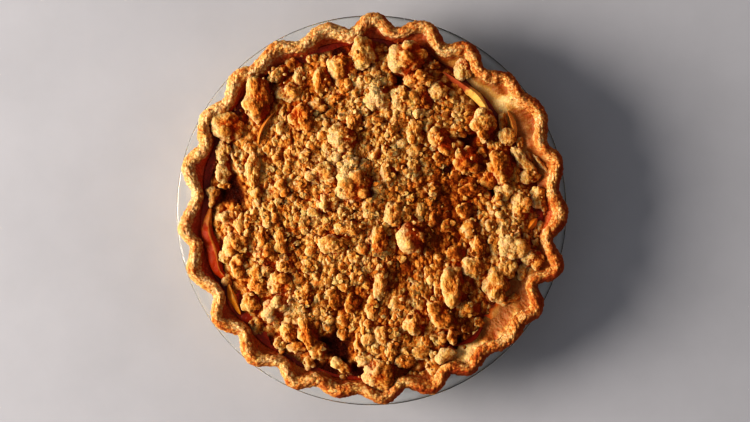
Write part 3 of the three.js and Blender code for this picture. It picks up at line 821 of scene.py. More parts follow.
# Clumps read off the photo one by one: x, y, width, depth in pixels, turn in degrees, toast from 0 to 1
seenClumps = [
    # upper left
    (257, 100, 26, 40, 0, 0.45), (227, 127, 28, 26, 0, 0.35), (278, 72, 24, 13, 35, 0.4), (293, 64, 15, 12),
    (299, 77, 11, 20), (289, 92, 24, 18, 0, 0.3), (304, 94, 10, 14), (301, 117, 23, 24, 0, 0.7),
    (276, 128, 12, 9), (288, 117, 6, 10), (256, 131, 10, 8), (242, 140, 10, 8), (262, 141, 8, 6),
    # top
    (361, 53, 24, 28, 0, 0.22), (408, 58, 33, 30, 0, 0.3), (342, 66, 26, 24, 0, 0.45),
    (322, 80, 16, 22, 0, 0.6), (343, 86, 14, 18), (319, 93, 9, 12), (337, 97, 26, 9, 15),
    (317, 107, 18, 16), (362, 81, 15, 14, 0, 0.15), (386, 63, 18, 10, 60), (375, 79, 12, 24, 0, 0.3),
    (376, 97, 22, 22, 0, 0.2), (402, 98, 20, 22, 0, 0.35), (420, 98, 20, 22, 0, 0.6),
    (418, 79, 26, 16, 0, 0.6), (439, 92, 18, 20, 0, 0.3), (432, 65, 16, 8), (364, 107, 14, 14, 0, 0.3),
    (352, 102, 10, 12), (355, 93, 14, 8), (354, 121, 14, 22), (316, 124, 22, 12, 30, 0.5),
    (343, 140, 24, 28, 0, 0.45), (404, 117, 11, 16), (377, 129, 12, 10), (393, 125, 12, 10),
    (391, 137, 14, 16), (383, 117, 8, 8), (415, 131, 14, 24, 0, 0.35), (425, 123, 8, 10), (420, 114, 8, 8),
    (429, 114, 8, 10), (437, 107, 10, 12), (343, 113, 10, 12), (441, 140, 30, 17, -50, 0.5),
    # upper right
    (465, 68, 17, 20, 0, 0.15), (484, 125, 22, 30, 0, 0.4), (460, 115, 14, 14), (472, 113, 12, 8),
    (458, 126, 14, 9), (466, 125, 8, 8), (446, 109, 12, 10), (447, 122, 10, 10), (504, 122, 8, 15),
    (508, 137, 16, 18, 0, 0.3), (521, 143, 8, 12),
    # left
    (223, 152, 14, 22, 0, 0.35), (223, 172, 14, 20, 0, 0.15), (252, 170, 14, 30, 0, 0.3),
    (250, 148, 12, 10), (268, 150, 10, 10), (237, 165, 6, 30, 25, 0.3), (212, 197, 12, 18, 0, 0.3),
    (224, 186, 12, 6), (227, 219, 20, 12, -25, 0.15), (229, 229, 10, 10, 0, 0.2), (240, 226, 9, 22, 0, 0.2),
    (248, 222, 14, 16, 0, 0.5), (235, 244, 22, 20, 0, 0.5), (224, 257, 12, 12), (237, 266, 13, 22, 0, 0.4),
    (250, 240, 10, 16), (262, 236, 12, 22, 0, 0.5), (264, 254, 20, 20, 0, 0.4), (281, 240, 12, 22),
    (254, 193, 10, 16), (256, 205, 8, 12), (275, 215, 14, 12), (273, 224, 14, 14, 0, 0.6),
    (290, 219, 10, 18), (304, 222, 12, 20), (302, 183, 14, 14, 0, 0.2), (306, 160, 12, 18),
    (285, 265, 18, 18), (309, 266, 14, 16), (276, 190, 18, 16, 0, 0.55), (292, 150, 10, 10),
    (292, 243, 10, 12), (262, 212, 10, 12, 20, 0.2), (290, 200, 12, 8),
    # middle
    (347, 166, 18, 20, 0, 0.2), (322, 172, 24, 18, 0, 0.5), (353, 187, 30, 28, 0, 0.45), (327, 203, 20, 18),
    (388, 172, 14, 24, 0, 0.3), (389, 152, 20, 12), (374, 155, 10, 12), (366, 168, 8, 10),
    (414, 151, 14, 14), (413, 170, 12, 20), (379, 188, 16, 12), (407, 192, 10, 10), (370, 208, 14, 18),
    (393, 215, 16, 20, 0, 0.3), (406, 212, 12, 16), (378, 243, 16, 28, 0, 0.5), (410, 238, 24, 28, 0, 0.05),
    (334, 245, 28, 18), (350, 228, 28, 14, 0, 0.5), (354, 255, 14, 14), (365, 252, 12, 16),
    (402, 258, 10, 10), (388, 265, 14, 8), (326, 222, 12, 14), (434, 190, 12, 14), (432, 205, 8, 10),
    (435, 215, 8, 10), (448, 226, 12, 12), (432, 240, 10, 12), (440, 258, 12, 10),
    # right
    (466, 160, 22, 24, 0, 0.35), (500, 168, 22, 30, 0, 0.5), (490, 178, 16, 18, 0, 0.6),
    (505, 192, 18, 14, 0, 0.15), (495, 203, 14, 14, 0, 0.5), (522, 160, 30, 12, -50, 0.2),
    (541, 163, 20, 5, -50, 0.2), (530, 176, 18, 14), (517, 175, 8, 16), (472, 191, 24, 14, 0, 0.6),
    (484, 200, 10, 12), (456, 176, 10, 10), (522, 205, 18, 28, 0, 0.5), (538, 198, 14, 18, 0, 0.3),
    (503, 227, 12, 19, 0, 0.3), (506, 212, 13, 12, 0, 0.2), (489, 226, 15, 14), (516, 226, 12, 18, 0, 0.4),
    (512, 246, 27, 23, 0, 0.3), (526, 245, 10, 22), (533, 259, 20, 18), (478, 247, 14, 22),
    (455, 255, 18, 14), (472, 229, 18, 16), (474, 268, 20, 18, 0, 0.3), (508, 268, 16, 20, 0, 0.4),
    (495, 243, 10, 20), (465, 210, 14, 12),
    # lower left
    (226, 281, 10, 12, 0, 0.15), (257, 286, 19, 16, 0, 0.62), (250, 302, 16, 18, 20, 0.62),
    (276, 307, 32, 19, 38, 0.2), (276, 325, 7, 7, 0, 0.5), (281, 343, 13, 12, 0, 0.4),
    (297, 348, 18, 12, 0, 0.3), (292, 317, 16, 16, 0, 0.55), (289, 332, 16, 22, 0, 0.65),
    (281, 283, 23, 23, 0, 0.55), (259, 273, 15, 17, 0, 0.55), (300, 280, 16, 12),
    (305, 296, 18, 20, 0, 0.6), (290, 300, 12, 20), (307, 332, 17, 30, 12, 0.6),
    (317, 351, 15, 19, 25, 0.4), (309, 364, 11, 12, 0, 0.2),
    # bottom
    (321, 281, 21, 12, 30), (334, 298, 12, 20, 0, 0.6), (352, 305, 12, 18, 0, 0.6), (345, 283, 14, 14),
    (355, 326, 9, 9, 0, 0.6), (343, 333, 12, 12, 0, 0.25), (360, 343, 12, 17, 0, 0.5),
    (364, 327, 8, 22, 0, 0.5), (355, 275, 14, 18), (372, 308, 12, 24), (380, 282, 12, 32),
    (384, 334, 16, 16, 0, 0.4), (380, 350, 15, 12), (391, 352, 12, 24, 0, 0.15), (366, 360, 18, 14),
    (378, 375, 28, 28, 0, 0.3), (396, 375, 12, 16), (405, 361, 19, 12), (406, 336, 10, 15, 0, 0.6),
    (414, 322, 19, 22), (423, 353, 16, 14, 0, 0.3), (341, 366, 20, 11, -33, 0.15),
    (440, 338, 15, 12, 0, 0.2), (428, 341, 9, 10), (436, 361, 12, 10), (435, 371, 15, 14, 0, 0.6),
    (437, 283, 10, 26), (430, 280, 7, 9, 0, 0.1), (437, 300, 12, 10, 0, 0.6), (416, 288, 14, 12),
    (400, 300, 14, 16), (418, 304, 12, 12),
    # lower right
    (454, 286, 22, 36, 0, 0.4), (496, 285, 24, 30, 0, 0.4), (441, 316, 32, 18, -42, 0.6),
    (453, 336, 10, 16, 0, 0.3), (470, 309, 20, 15, 0, 0.5), (479.5, 322.5, 9, 9, 0, 0.5),
    (446, 357, 20, 13, 25, 0.1), (509, 301, 20, 9, 15, 0.5), (466, 329, 9, 8), (522, 273, 8, 14),
    (485, 262, 12, 10),
]
# Bare places where the dark syrup shows between the clumps, its darkness partly painted shade in gaps that
# lie in shade: x, y, radius in pixels
bareSpots = [
    (335, 342, 13), (400, 80, 7), (493, 190, 6), (233, 192, 15), (265, 346, 14), (341, 352, 13),
    (250, 340, 12), (206, 172, 12), (330, 372, 14), (493, 325, 12), (357, 372, 10), (455, 345, 9),
    (468, 140, 9), (395, 45, 6), (338, 50, 9), (448, 170, 6),
]
# Broad places where the heap is darker and lies lower, or paler (share below 0): x, y, radius, share; the
# darker and paler colour is partly toast and partly painted shade and painted light
tonePlaces = [
    (232, 195, 14, 0.9), (395, 80, 9, 0.7), (482, 154, 18, 0.8), (452, 200, 30, 1.2), (440, 240, 18, 1.0),
    (402, 270, 17, 1.2), (476, 290, 13, 0.4), (295, 245, 13, 0.8), (342, 340, 20, 0.5), (402, 372, 16, 0.9),
    (468, 334, 20, 0.6), (308, 82, 10, 0.6), (343, 50, 12, 0.7), (446, 62, 12, 0.6), (300, 200, 10, 0.4),
    (352, 302, 16, 0.8), (455, 165, 14, 0.5), (424, 160, 14, 0.4), (420, 330, 18, 0.4), (360, 128, 12, 0.4),
    (238, 285, 12, 0.4), (272, 100, 12, 0.5), (308, 335, 10, 0.4), (530, 235, 10, 0.4), (370, 92, 18, -0.8),
    (338, 162, 24, -0.8), (226, 160, 18, -0.6), (226, 118, 15, 0.2), (503, 215, 18, -0.35),
    (512, 250, 18, -0.4), (480, 106, 12, -0.4), (372, 358, 14, -0.5), (285, 310, 18, -0.8),
    (262, 208, 16, -0.3), (345, 222, 26, -0.2),
]
# Oat flakes that stand out in the photo: x, y
seenFlakes = [(431, 178), (470, 316), (315, 246), (271, 176), (531, 187), (292, 92), (372, 294), (418, 285)]
crumblePlan = {
    "clumpHeight": 0.84,       # height of a clump over its mean width
    "clumpSunk": 0.44,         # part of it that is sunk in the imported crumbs
    "fuller": 1.22,            # a clump goes on under its neighbours
    "largeFrom": 20, "middleFrom": 17,     # mean width in pixels
    "palest": 0.1, "palestLift": 1.6,      # broken bits up to this toast lie this much higher, mm
    "roll": 0.9, "rollCell": 13,           # rise and fall of the heap, mm
    "tone": 0.50,                          # how far the darker places are darker
    "hollow": 1.8,                         # how far they lie lower, mm
    "smallCount": 330, "smallWidth": (3.6, 8.0),      # mm
    "fineCount": 750, "fineWidth": (1.4, 3.0),
    "looseSunk": 0.50,
    "oatCount": 620, "oatSpread": 52, "oatReach": 92,
    "oatLong": (1.3, 2.8), "oatWide": (0.9, 1.8), "oatThick": (0.18, 0.30), "oatTip": 55,     # mm, degrees
    # reach of the visible crumbs every 15 degrees, in photo pixels: thin towards the crust
    "fringe": [176, 173, 160, 152, 162, 172, 172, 166, 176, 176, 177, 164,
               163, 158, 162, 170, 172, 170, 178, 176, 171, 158, 154, 174],
    "nub": [(5.4, 2.6), (2.7, 1.2), (1.4, 0.45)],     # width and height of the core's nubs, mm
    # relief of the crumbs: how far each kind of lump stands out and its width, mm
    "wave": 0.9, "waveCell": 6.5, "swell": 0.7, "swellCell": 3.6, "knob": 0.80, "knobCell": 2.7,
    "grain": 0.40, "grainCell": 1.2, "fine": 0.34, "fineCell": 0.85, "ragged": 0.42, "raggedCell": 1.9,
    # lobes and broken faces of a crumb of half size 1: reach and radius of a lobe, depth of a broken face
    "lobeReach": (0.46, 0.70), "lobeSize": (0.24, 0.44), "chopDepth": (0.60, 0.82), "lobeDrift": 0.28,
    # fineness of the mesh, lobes, broken faces and roughness of each kind
    "kinds": {
        "largeClumps": (5 - coarser, 13, 5, 1.0), "middleClumps": (5 - coarser, 9, 4, 1.0),
        "littleClumps": (4 - coarser, 9, 5, 1.2), "smallCrumbs": (3, 7, 4, 1.2), "fineCrumbs": (2, 4, 2, 0.9),
    },
    "palestForm": (5, 7),      # lobes and broken faces of a broken bit
    "seed": 20,
}
fringeKnots = everyStep(crumblePlan["fringe"])
crumbLook = crumbFinish()      # one finish for the whole crumble

# Height map of the heap, on which the loose crumbs settle
heapCell = 0.5
heapHalf = 112.0
heapSize = int(2 * heapHalf / heapCell) + 1
heapLine = np.linspace(-heapHalf, heapHalf, heapSize)
gridX, gridY = np.meshgrid(heapLine, heapLine)
sliceCover = 56                # the slices count as this high, so that no loose crumb lands on them


def bareness(x, y):
    # 1 in the middle of a bare spot
    total = np.zeros(np.shape(x))
    for px, py, reach in bareSpots:
        cx, cy = placeOf(px, py, pie["slopeHeight"])
        away = np.hypot(x - cx, y - cy) / (reach * pixelAt(pie["slopeHeight"]))
        turn = np.arctan2(y - cy, x - cx)
        away = away * (1 + 0.22 * np.sin(3 * turn + px) + 0.14 * np.sin(5 * turn + py))
        total = np.maximum(total, smooth(1.1, 0.5, away))
    return total


def toneAt(x, y):
    # above 0 where the heap is darker and hollow, below 0 where it is paler
    return sum(place[3] * softPatch(x, y, place, pie["toneHeight"]) for place in tonePlaces)


def packedTop(x, y):
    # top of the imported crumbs, which thin out towards their edge and over the bare spots
    far = np.hypot(x, y)
    reach = between(coreKnots, np.arctan2(y, x)) * pixelAt(pie["edgeHeight"])
    thick = (pie["coreDepth"] - 1.0) * smooth(1.0, 0.88, far / reach) * (1 - 0.85 * bareness(x, y))
    place = np.stack([np.ravel(x), np.ravel(y), np.zeros(np.size(x))], axis=-1)
    roll = softNoise(place, crumblePlan["rollCell"], 141).reshape(np.shape(x))
    rolled = crumblePlan["roll"] * roll - crumblePlan["hollow"] * np.clip(toneAt(x, y), -0.4, 1)
    return fillingTop(far) + 0.9 + thick + rolled * thick / 2.2


heapLevel = packedTop(gridX, gridY)
heapFloor = heapLevel.copy()
blurredLevels = {}             # the height map smoothed near and round about, once all crumbs lie


def windowOf(x, y, reach):
    # the part of the height map around a place
    rows = [int((y - reach + heapHalf) / heapCell), int((y + reach + heapHalf) / heapCell) + 2]
    columns = [int((x - reach + heapHalf) / heapCell), int((x + reach + heapHalf) / heapCell) + 2]
    return tuple(slice(max(0, low), min(heapSize, high)) for low, high in (rows, columns))


def raiseHeap(x, y, z, a, b, h, turn):
    # notes in the height map that a crumb lies here
    window = windowOf(x, y, max(a, b))
    dx, dy = gridX[window] - x, gridY[window] - y
    c, s = math.cos(turn), math.sin(turn)
    away = ((dx * c + dy * s) / a) ** 2 + ((dy * c - dx * s) / b) ** 2
    top = np.where(away < 1, z + h * np.sqrt(np.maximum(1 - away, 0)), -1)
    heapLevel[window] = np.maximum(heapLevel[window], top)


def levelUnder(x, y, reach):
    # height at which a crumb comes to lie between its neighbours
    window = windowOf(x, y, reach)
    near = np.hypot(gridX[window] - x, gridY[window] - y) < reach
    return float(np.percentile(heapLevel[window][near], 35))


def standAt(x, y, reach):
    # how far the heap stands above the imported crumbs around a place
    window = windowOf(x, y, reach)
    return float((heapLevel[window] - heapFloor[window]).mean())


def blurred(level, cells):
    # mean of the height map over a square window
    total = np.pad(level, cells, mode="edge")
    total = np.cumsum(np.cumsum(total, axis=0), axis=1)
    total = np.pad(total, ((1, 0), (1, 0)))
    n = 2 * cells + 1
    return (total[n:, n:] - total[:-n, n:] - total[n:, :-n] + total[:-n, :-n]) / (n * n)


def depthMark(points):
    # 0 on the surface of the heap, 1 well below the clumps around: it lays painted shade into the hollows
    cells = ((points[:, :2] + heapHalf) / heapCell).astype(int)
    column, row = np.clip(cells, 0, heapSize - 1).T
    near = smooth(0.3, 2.6, blurredLevels["near"][row, column] - points[:, 2])
    return np.maximum(near, smooth(0.0, 4.5, blurredLevels["round"][row, column] - points[:, 2]))


def unitBall(fineness):
    ball = bmesh.new()
    bmesh.ops.create_icosphere(ball, subdivisions=fineness, radius=1)
    points = unit(np.array([v.co[:] for v in ball.verts]))
    triangles = np.array([[v.index for v in f.verts] for f in ball.faces])
    ball.free()
    return points, triangles


def clumpForm(ball, size, lobes, chops, draw):
    # a knobbly lump that fits its half sizes: round lobes run together, with a few broken faces
    plan = crumblePlan
    size = np.asarray(size)
    shape = size / size.mean()
    lobes = int(lobes * (shape.max() / shape.min()) ** 0.6)
    directions = unit(ball * shape)
    order = np.arange(lobes) + 0.5
    level = 1 - 2 * order / lobes
    turn = order * 2.39996 + draw.uniform(0, fullTurn)          # the golden angle spreads them evenly
    ring = np.sqrt(1 - level ** 2)
    spots = np.stack([ring * np.cos(turn), ring * np.sin(turn), level], axis=-1)
    spots = unit(spots + draw.normal(scale=plan["lobeDrift"], size=(lobes, 3)))
    spots *= shape * draw.uniform(*plan["lobeReach"], (lobes, 1))
    sizes = draw.uniform(*plan["lobeSize"], lobes) * shape.min() ** 0.5
    toward = directions @ spots.T
    under = sizes ** 2 - (spots ** 2).sum(axis=1) + toward ** 2
    reach = np.maximum(np.where(under > 0, toward + np.sqrt(np.maximum(under, 0)), 0), 0)
    middle = 0.70 / np.linalg.norm(directions / shape, axis=1)
    blend = np.log(np.exp(16 * reach).sum(axis=1) + np.exp(16 * middle)) / 16
    for _ in range(chops):
        cut = draw.normal(size=3)
        cut /= np.linalg.norm(cut)
        facing = directions @ cut
        plane = draw.uniform(*plan["chopDepth"]) * np.linalg.norm(cut * shape)
        limit = np.where(facing > 0.2, plane / np.maximum(facing, 0.2), 9)
        blend = np.where(limit < blend, limit + 0.2 * (blend - limit), blend)
    form = directions * blend[:, None]
    low, high = form.min(axis=0), form.max(axis=0)
    return (form - (low + high) / 2) / ((high - low) / 2)


def crumbBatch(crumbs, fineness, lobes, chops, draw):
    # crumbs: x, y, z, half sizes a, b, h, turn, toast
    ball, triangles = unitBall(fineness)
    rows = []
    for k, (x, y, z, a, b, h, turn, tint) in enumerate(crumbs):
        broken = tint <= crumblePlan["palest"]                 # freshly broken, flat-sided bits
        lumpiness = crumblePlan["palestForm"] if broken else (lobes, chops)
        form = clumpForm(ball, (a, b, h), *lumpiness, draw)
        turned = rotated(form * (a, b, h), turn)
        # toasted on top, and darker on the side away from the lamp as painted shade
        bakedAndPaintedShade = form[:, 2] + 0.5 * turned[:, 0] / max(a, b)
        toastAndPaintedShade = 0.8 * tint + 0.48 * smooth(-0.1, 1.0, bakedAndPaintedShade) - 0.33
        # painted shade on the lower part of each crumb
        low = smooth(0.5, -0.4, form[:, 2])
        centre = np.tile((x, y, z), (len(ball), 1))
        size = np.full(len(ball), min(a, b, h) * (0.4 if broken else 1))
        rows.append((turned + centre, triangles + k * len(ball), toastAndPaintedShade, low, centre, size))
    return tuple(np.concatenate(part) for part in zip(*rows))


def roughen(points, centres, sizes, strength):
    # pushes the surface in and out from the middle of each crumb
    plan = crumblePlan
    knob, knobShade, knobCrease = grains(points, plan["knobCell"], 75)
    grain, grainShade, grainCrease = grains(points, plan["grainCell"], 81)
    fine = grains(points, plan["fineCell"], 83)[0]
    ragged = cracks(points, plan["raggedCell"], 77) + 0.5 * cracks(points, plan["raggedCell"] / 2, 78)
    push = plan["swell"] * softNoise(points, plan["swellCell"], 71)
    push = push + plan["wave"] * softNoise(points, plan["waveCell"], 73) + plan["knob"] * (knob - 0.62)
    push = push + plan["grain"] * (grain - 0.55) + plan["fine"] * (fine - 0.5) + plan["ragged"] * ragged
    room = np.clip(sizes / 4.6, 0.2, 1.0)                      # small crumbs are pushed less
    tint = 0.26 * (knobShade - 0.5) + 0.22 * (grainShade - 0.5) - 0.12 * ragged
    moved = points + unit(points - centres) * (push * room * strength)[:, None]
    return moved, tint, np.maximum(knobCrease, 0.6 * grainCrease)


def addCrumbs(name, crumbs, draw):
    fineness, lobes, chops, strength = crumblePlan["kinds"][name]
    points, faces, toastAndPaintedShade, low, centres, sizes = crumbBatch(crumbs, fineness, lobes, chops, draw)
    points, tint, crease = roughen(points, centres, sizes, strength)
    tone = toneAt(points[:, 0], points[:, 1])
    right, _, up = outwardOf(points, faces).T                  # how far the surface faces each way
    # toast here is partly painted shade: creases and the side facing away from the lamp are darker
    toastAndPaintedShade = toastAndPaintedShade + tint + 0.15 * softNoise(points, 7, 91) + 0.12 * crease + crumblePlan["tone"] * tone
    toastAndPaintedShade = toastAndPaintedShade + 0.28 * right + 0.10 * smooth(0.3, 1.0, up) - 0.02
    # painted shade in hollows, creases, under each crumb, on downward and away-from-lamp sides, and less on
    # the side facing the lamp
    paintedShade = 0.9 * depthMark(points) + 0.20 * crease + 0.45 * low - 0.06 * np.clip(-tone, 0, 1)
    paintedShade = paintedShade + 0.30 * smooth(0.5, -0.3, up) + 0.26 * smooth(-0.1, 0.8, right)
    paintedShade = 0.96 * smooth(0.0, 1.15, paintedShade) * (1 - 0.6 * smooth(0.0, 0.75, -right))
    piece = addMesh(name, points, faces, {"toastAndPaintedShade": toastAndPaintedShade, "paintedShade": paintedShade})
    settle(piece, crumbLook, "crumble")


def clearOfWall(x, y, z, reach):
    # draws a crumb inward until it lies inside the crust
    room = float(insideAt(math.atan2(y, x), z)) - reach * 0.85
    keep = min(1, room / max(math.hypot(x, y), 1e-6))
    return x * keep, y * keep


def placeClumps(draw):
    # the clumps that the photo shows, largest first
    size = pixelAt(pie["heapHeight"])
    placed = []
    for seen in sorted(seenClumps, key=lambda c: -c[2] * c[3]):
        x, y, w, d = seen[:4]
        turn = math.radians(seen[4]) if len(seen) > 4 else 0
        tint = seen[5] if len(seen) > 5 else draw.uniform(0.15, 0.66)
        mean = math.sqrt(w * d)
        fuller = crumblePlan["fuller"]
        a, b, h = w * size * fuller / 2, d * size * fuller / 2, mean * size * crumblePlan["clumpHeight"] / 2
        px, py = placeOf(x, y, pie["heapHeight"])
        px, py = clearOfWall(px, py, pie["centreHeight"], min(a, b))
        packed = float(fillingTop(math.hypot(px, py))) + pie["coreDepth"]
        sunk = crumblePlan["clumpSunk"] + 0.10 * float(smooth(20, 11, mean))
        z = packed + h * (1 - 2 * sunk) + draw.uniform(-0.7, 0.6) + 0.10 * (mean - 16)
        z = z + (crumblePlan["palestLift"] if tint <= crumblePlan["palest"] else 0)
        placed.append((px, py, z, a, b, h, turn, tint, mean))
        raiseHeap(px, py, z, a, b, h, turn)
    return placed


def keepSlicesBare():
    # raises the height map along the slices
    for plan in slicePlans:
        reach = max(plan["width"]) * pixelAt(pie["slopeHeight"]) * 0.6
        for x, y in curveThrough([(*p, 0) for p in plan["line"]], 14)[:, :2]:
            raiseHeap(*placeOf(x, y, pie["slopeHeight"]), sliceCover, reach, reach, 1, 0)


def scatter(count, width, choices, draw):
    # loose crumbs that settle in the low places between the clumps: the lowest of a few drawn spots is taken
    placed = []
    small, large = width
    for _ in range(count):
        mean = small + (large - small) * draw.uniform() ** 1.5
        best = None
        for _ in range(choices):
            heading = draw.uniform(0, fullTurn)
            reach = float(between(fringeKnots, heading)) * pixelAt(pie["edgeHeight"]) * 0.985
            far = reach * math.sqrt(draw.uniform())
            x, y = far * math.cos(heading), far * math.sin(heading)
            stands = standAt(x, y, mean / 2) + 6 * float(bareness(x, y)) + 3 * max(0, float(toneAt(x, y)))
            if best is None or stands < best[0]:
                best = (stands, x, y)
        a, b, h = (mean / 2 * draw.uniform(*span) for span in ((0.85, 1.25), (0.75, 1.1), (0.7, 1.0)))
        x, y = clearOfWall(best[1], best[2], pie["slopeHeight"], a)
        z = levelUnder(x, y, mean / 2) + h * (1 - 2 * crumblePlan["looseSunk"])
        turn = draw.uniform(0, math.pi)
        placed.append((x, y, z, a, b, h, turn, draw.uniform(0.0, 0.74)))
        raiseHeap(x, y, z, a, b, h, turn)
    return placed


def layCrumbs(draw):
    # the places of all clumps and crumbs, by kind
    plan = crumblePlan
    clumps = placeClumps(draw)
    openLevel = heapLevel.copy()
    keepSlicesBare()
    overSlices = heapLevel > sliceCover - 0.5
    small = scatter(plan["smallCount"], plan["smallWidth"], 5, draw)
    fine = scatter(plan["fineCount"], plan["fineWidth"], 2, draw)
    openLevel = np.where(overSlices, openLevel, heapLevel)
    blurredLevels["near"] = blurred(openLevel, 3)
    blurredLevels["round"] = blurred(openLevel, 9)
    large = [c[:8] for c in clumps if c[8] >= plan["largeFrom"]]
    middle = [c[:8] for c in clumps if plan["middleFrom"] <= c[8] < plan["largeFrom"]]
    little = [c[:8] for c in clumps if c[8] < plan["middleFrom"]]
    print("clumps", len(large), len(middle), len(little), "small", len(small), "fine", len(fine))
    return dict(zip(plan["kinds"], (large, middle, little, small, fine)))


def makeCore():
    # packed crumbs and syrup under the loose ones: nubs that run together, thinning out to a ragged fringe
    rows, steps = ((128, 600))
    angle = evenTurn(steps)
    reach = between(fringeKnots, angle) * pixelAt(pie["edgeHeight"])
    reach = np.minimum(reach, insideAt(angle, pie["edgeHeight"] + 1) - 1.0)
    shares = [0.3, 0.7, 1.0, *np.linspace(0.015, 1, rows)[::-1][1:]]      # the first three are its underside
    radius = np.array([reach * share for share in shares])
    height = packedTop(radius * np.cos(angle), radius * np.sin(angle))
    height[:3] = fillingTop(radius[:3]) - 1.2
    points, triangles = turnedPiece(radius, height)
    top = np.append(np.repeat(np.arange(len(radius)) >= 3, steps), [False, True])
    x, y = points[:, 0], points[:, 1]
    bare, tone = bareness(x, y), toneAt(x, y)
    part = np.hypot(x, y) / np.append(np.tile(reach, len(radius)), [99, 99])
    ragged = smooth(1.02, 0.93, part + 0.05 * softNoise(points, 5, 113))
    relief, tint, crease = -1.6 + 0.6 * softNoise(points, 7, 111), 0, 0
    for k, (cell, amount) in enumerate(crumblePlan["nub"]):
        nub, shade, gap = grains(points, cell, 101 + 5 * k, planar=True)
        relief = relief + amount * nub
        tint = tint + 0.26 * (shade - 0.5)
        crease = np.maximum(crease, gap * (1 - 0.25 * k))
    relief = relief + 0.6 * cracks(points, 2.0, 117) + 0.35 * cracks(points, 1.0, 118)
    points[:, 2] += np.where(top, relief * (1 - 0.4 * bare) * (0.3 + 0.7 * ragged) - 0.9 * (1 - ragged), 0)
    right = outwardOf(points, triangles)[:, 0]
    # toast here is partly painted shade in creases and on sides facing away from the lamp
    toastAndPaintedShade = 0.40 + tint + 0.2 * softNoise(points, 6, 121) + 0.2 * crease + 0.4 * bare
    toastAndPaintedShade = toastAndPaintedShade + crumblePlan["tone"] * tone + 0.16 * right
    # painted shade in creases, hollows and on sides facing away from the lamp, less on sides facing it
    paintedShade = 0.15 + 0.4 * crease + 0.8 * depthMark(points) - 0.06 * np.clip(-tone, 0, 1)
    paintedShade = paintedShade + 0.28 * smooth(-0.1, 0.8, right)
    paintedShade = 0.96 * smooth(0.0, 1.15, paintedShade) * (1 - 0.5 * smooth(0.0, 0.75, -right))
    # dark syrup colour on bare spots and the thin fringe, partly painted shade in those gaps
    juice = np.maximum(bare, 0.8 * (1 - ragged))
    core = addMesh("packedCrumbs", points, triangles, {"toastAndPaintedShade": toastAndPaintedShade, "paintedShade": paintedShade, "juice": juice})
    settle(core, crumbLook, "crumble")


def makeOats(draw):
    # rolled oats: thin curled flakes, tipped over and half sunk between the crumbs
    plan = crumblePlan
    spots = [placeOf(x, y, pie["flakeHeight"]) for x, y in seenFlakes]
    while len(spots) < plan["oatCount"]:
        x, y = draw.normal(scale=plan["oatSpread"], size=2)
        inHeap = math.hypot(x, y) < plan["oatReach"] and float(bareness(x, y)) < 0.4
        if inHeap and standAt(x, y, 2) < 4.5:
            spots.append((x, y))
    ball, triangles = unitBall(2)
    u, v = ball[:, 0], ball[:, 1]
    points, faces, toastAndPaintedShade = [], [], []
    for k, (x, y) in enumerate(spots):
        a, b = draw.uniform(*plan["oatLong"]), draw.uniform(*plan["oatWide"])
        flake = ball * (a, b, draw.uniform(*plan["oatThick"]))
        flake[:, 2] += draw.uniform(-0.6, 1.0) * u * u + draw.uniform(-0.3, 0.7) * v * v
        flake = flake * (1 + 0.16 * np.sin(3 * np.arctan2(v, u) + k))[:, None]
        tip, turn = math.radians(draw.uniform(-plan["oatTip"], plan["oatTip"])), draw.uniform(0, fullTurn)
        z = levelUnder(x, y, 1.4) + 0.2 + 0.25 * a * abs(math.sin(tip))
        points.append(rotated(rotated(flake, tip, 0, 2), turn) + (x, y, z))
        faces.append(triangles + k * len(ball))
        toastAndPaintedShade.append(draw.uniform(0.10, 0.7) + 0.25 * u ** 2)
    points = np.concatenate(points)
    points = points + np.stack([0.16 * softNoise(points, 1.1, 131 + k) for k in range(3)], axis=-1)
    # painted shade on flakes that lie in hollows
    marks = {"toastAndPaintedShade": np.concatenate(toastAndPaintedShade), "paintedShade": 0.9 * depthMark(points)}
    settle(addMesh("oatFlakes", points, np.concatenate(faces), marks), crumbLook, "crumble")


makeDish()
makeCrust()
makeFilling()
for sliceNumber, slicePlan in enumerate(slicePlans, 1):
    makeSlice(sliceNumber, slicePlan)
print("dish, crust, filling and slices made")

draw = np.random.default_rng(crumblePlan["seed"])
for kind, crumbs in layCrumbs(draw).items():
    addCrumbs(kind, crumbs, draw)
makeCore()
makeOats(draw)
print("crumble made")

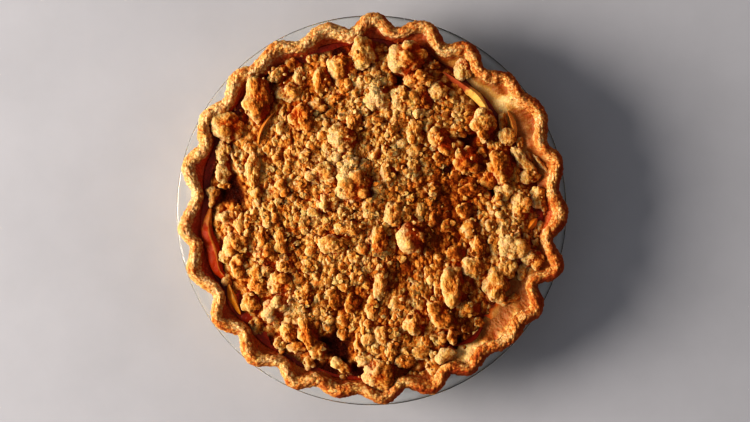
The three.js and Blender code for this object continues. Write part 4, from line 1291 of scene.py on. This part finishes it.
lightPlan = {
    "azimuth": 181.5, "elevation": 27.5, "distance": 2.2, "size": 1.25,      # degrees and metres
    "power": 68.0, "colour": (1.0, 0.965, 0.91),
    "sky": (0.90, 0.94, 1.0), "skyStrength": 0.24,
    "floorSize": 2400,                                                       # half its side, mm
}


def makeFloor():
    s = lightPlan["floorSize"]
    corners = np.array([(-s, -s, 0), (s, -s, 0), (s, s, 0), (-s, s, 0)], float)
    table = addMesh("paleTable", corners, np.array([[0, 1, 2, 3]]))
    table.data.materials.append(floorFinish())


def makeLight():
    plan = lightPlan
    lamp = bpy.data.lights.new("windowLight", "AREA")
    lamp.shape = "DISK"
    lamp.size = plan["size"]
    lamp.energy = plan["power"]
    lamp.color = plan["colour"]
    window = bpy.data.objects.new("windowLight", lamp)
    turn, rise = math.radians(plan["azimuth"]), math.radians(plan["elevation"])
    away = Vector((math.cos(turn) * math.cos(rise), math.sin(turn) * math.cos(rise), math.sin(rise)))
    window.location = away * plan["distance"]
    window.rotation_euler = away.to_track_quat("Z", "Y").to_euler()
    bpy.context.scene.collection.objects.link(window)
    world = bpy.data.worlds.new("studioSky")
    world.use_nodes = True
    sky = world.node_tree.nodes["Background"]
    sky.inputs["Color"].default_value = (*plan["sky"], 1)
    sky.inputs["Strength"].default_value = plan["skyStrength"]
    bpy.context.scene.world = world


def makeCamera():
    # straight down, with the dish where the photo has it
    camera = bpy.data.cameras.new("overheadCamera")
    size = pixelAt(pie["rimHeight"])
    camera.sensor_width = 36
    camera.lens = camera.sensor_width * (photo["eyeHeight"] - pie["rimHeight"]) / (photo["width"] * size)
    eye = bpy.data.objects.new("overheadCamera", camera)
    eye.location = ((photo["width"] / 2 - photo["centreX"]) * size * mm,
                    (photo["centreY"] - photo["height"] / 2) * size * mm, photo["eyeHeight"] * mm)
    bpy.context.scene.collection.objects.link(eye)
    bpy.context.scene.camera = eye


makeFloor()
makeLight()
makeCamera()
view = bpy.context.scene.view_settings
view.view_transform = "Standard"
view.look = "High Contrast"
view.exposure = 0.0
print("floor, light and camera made")
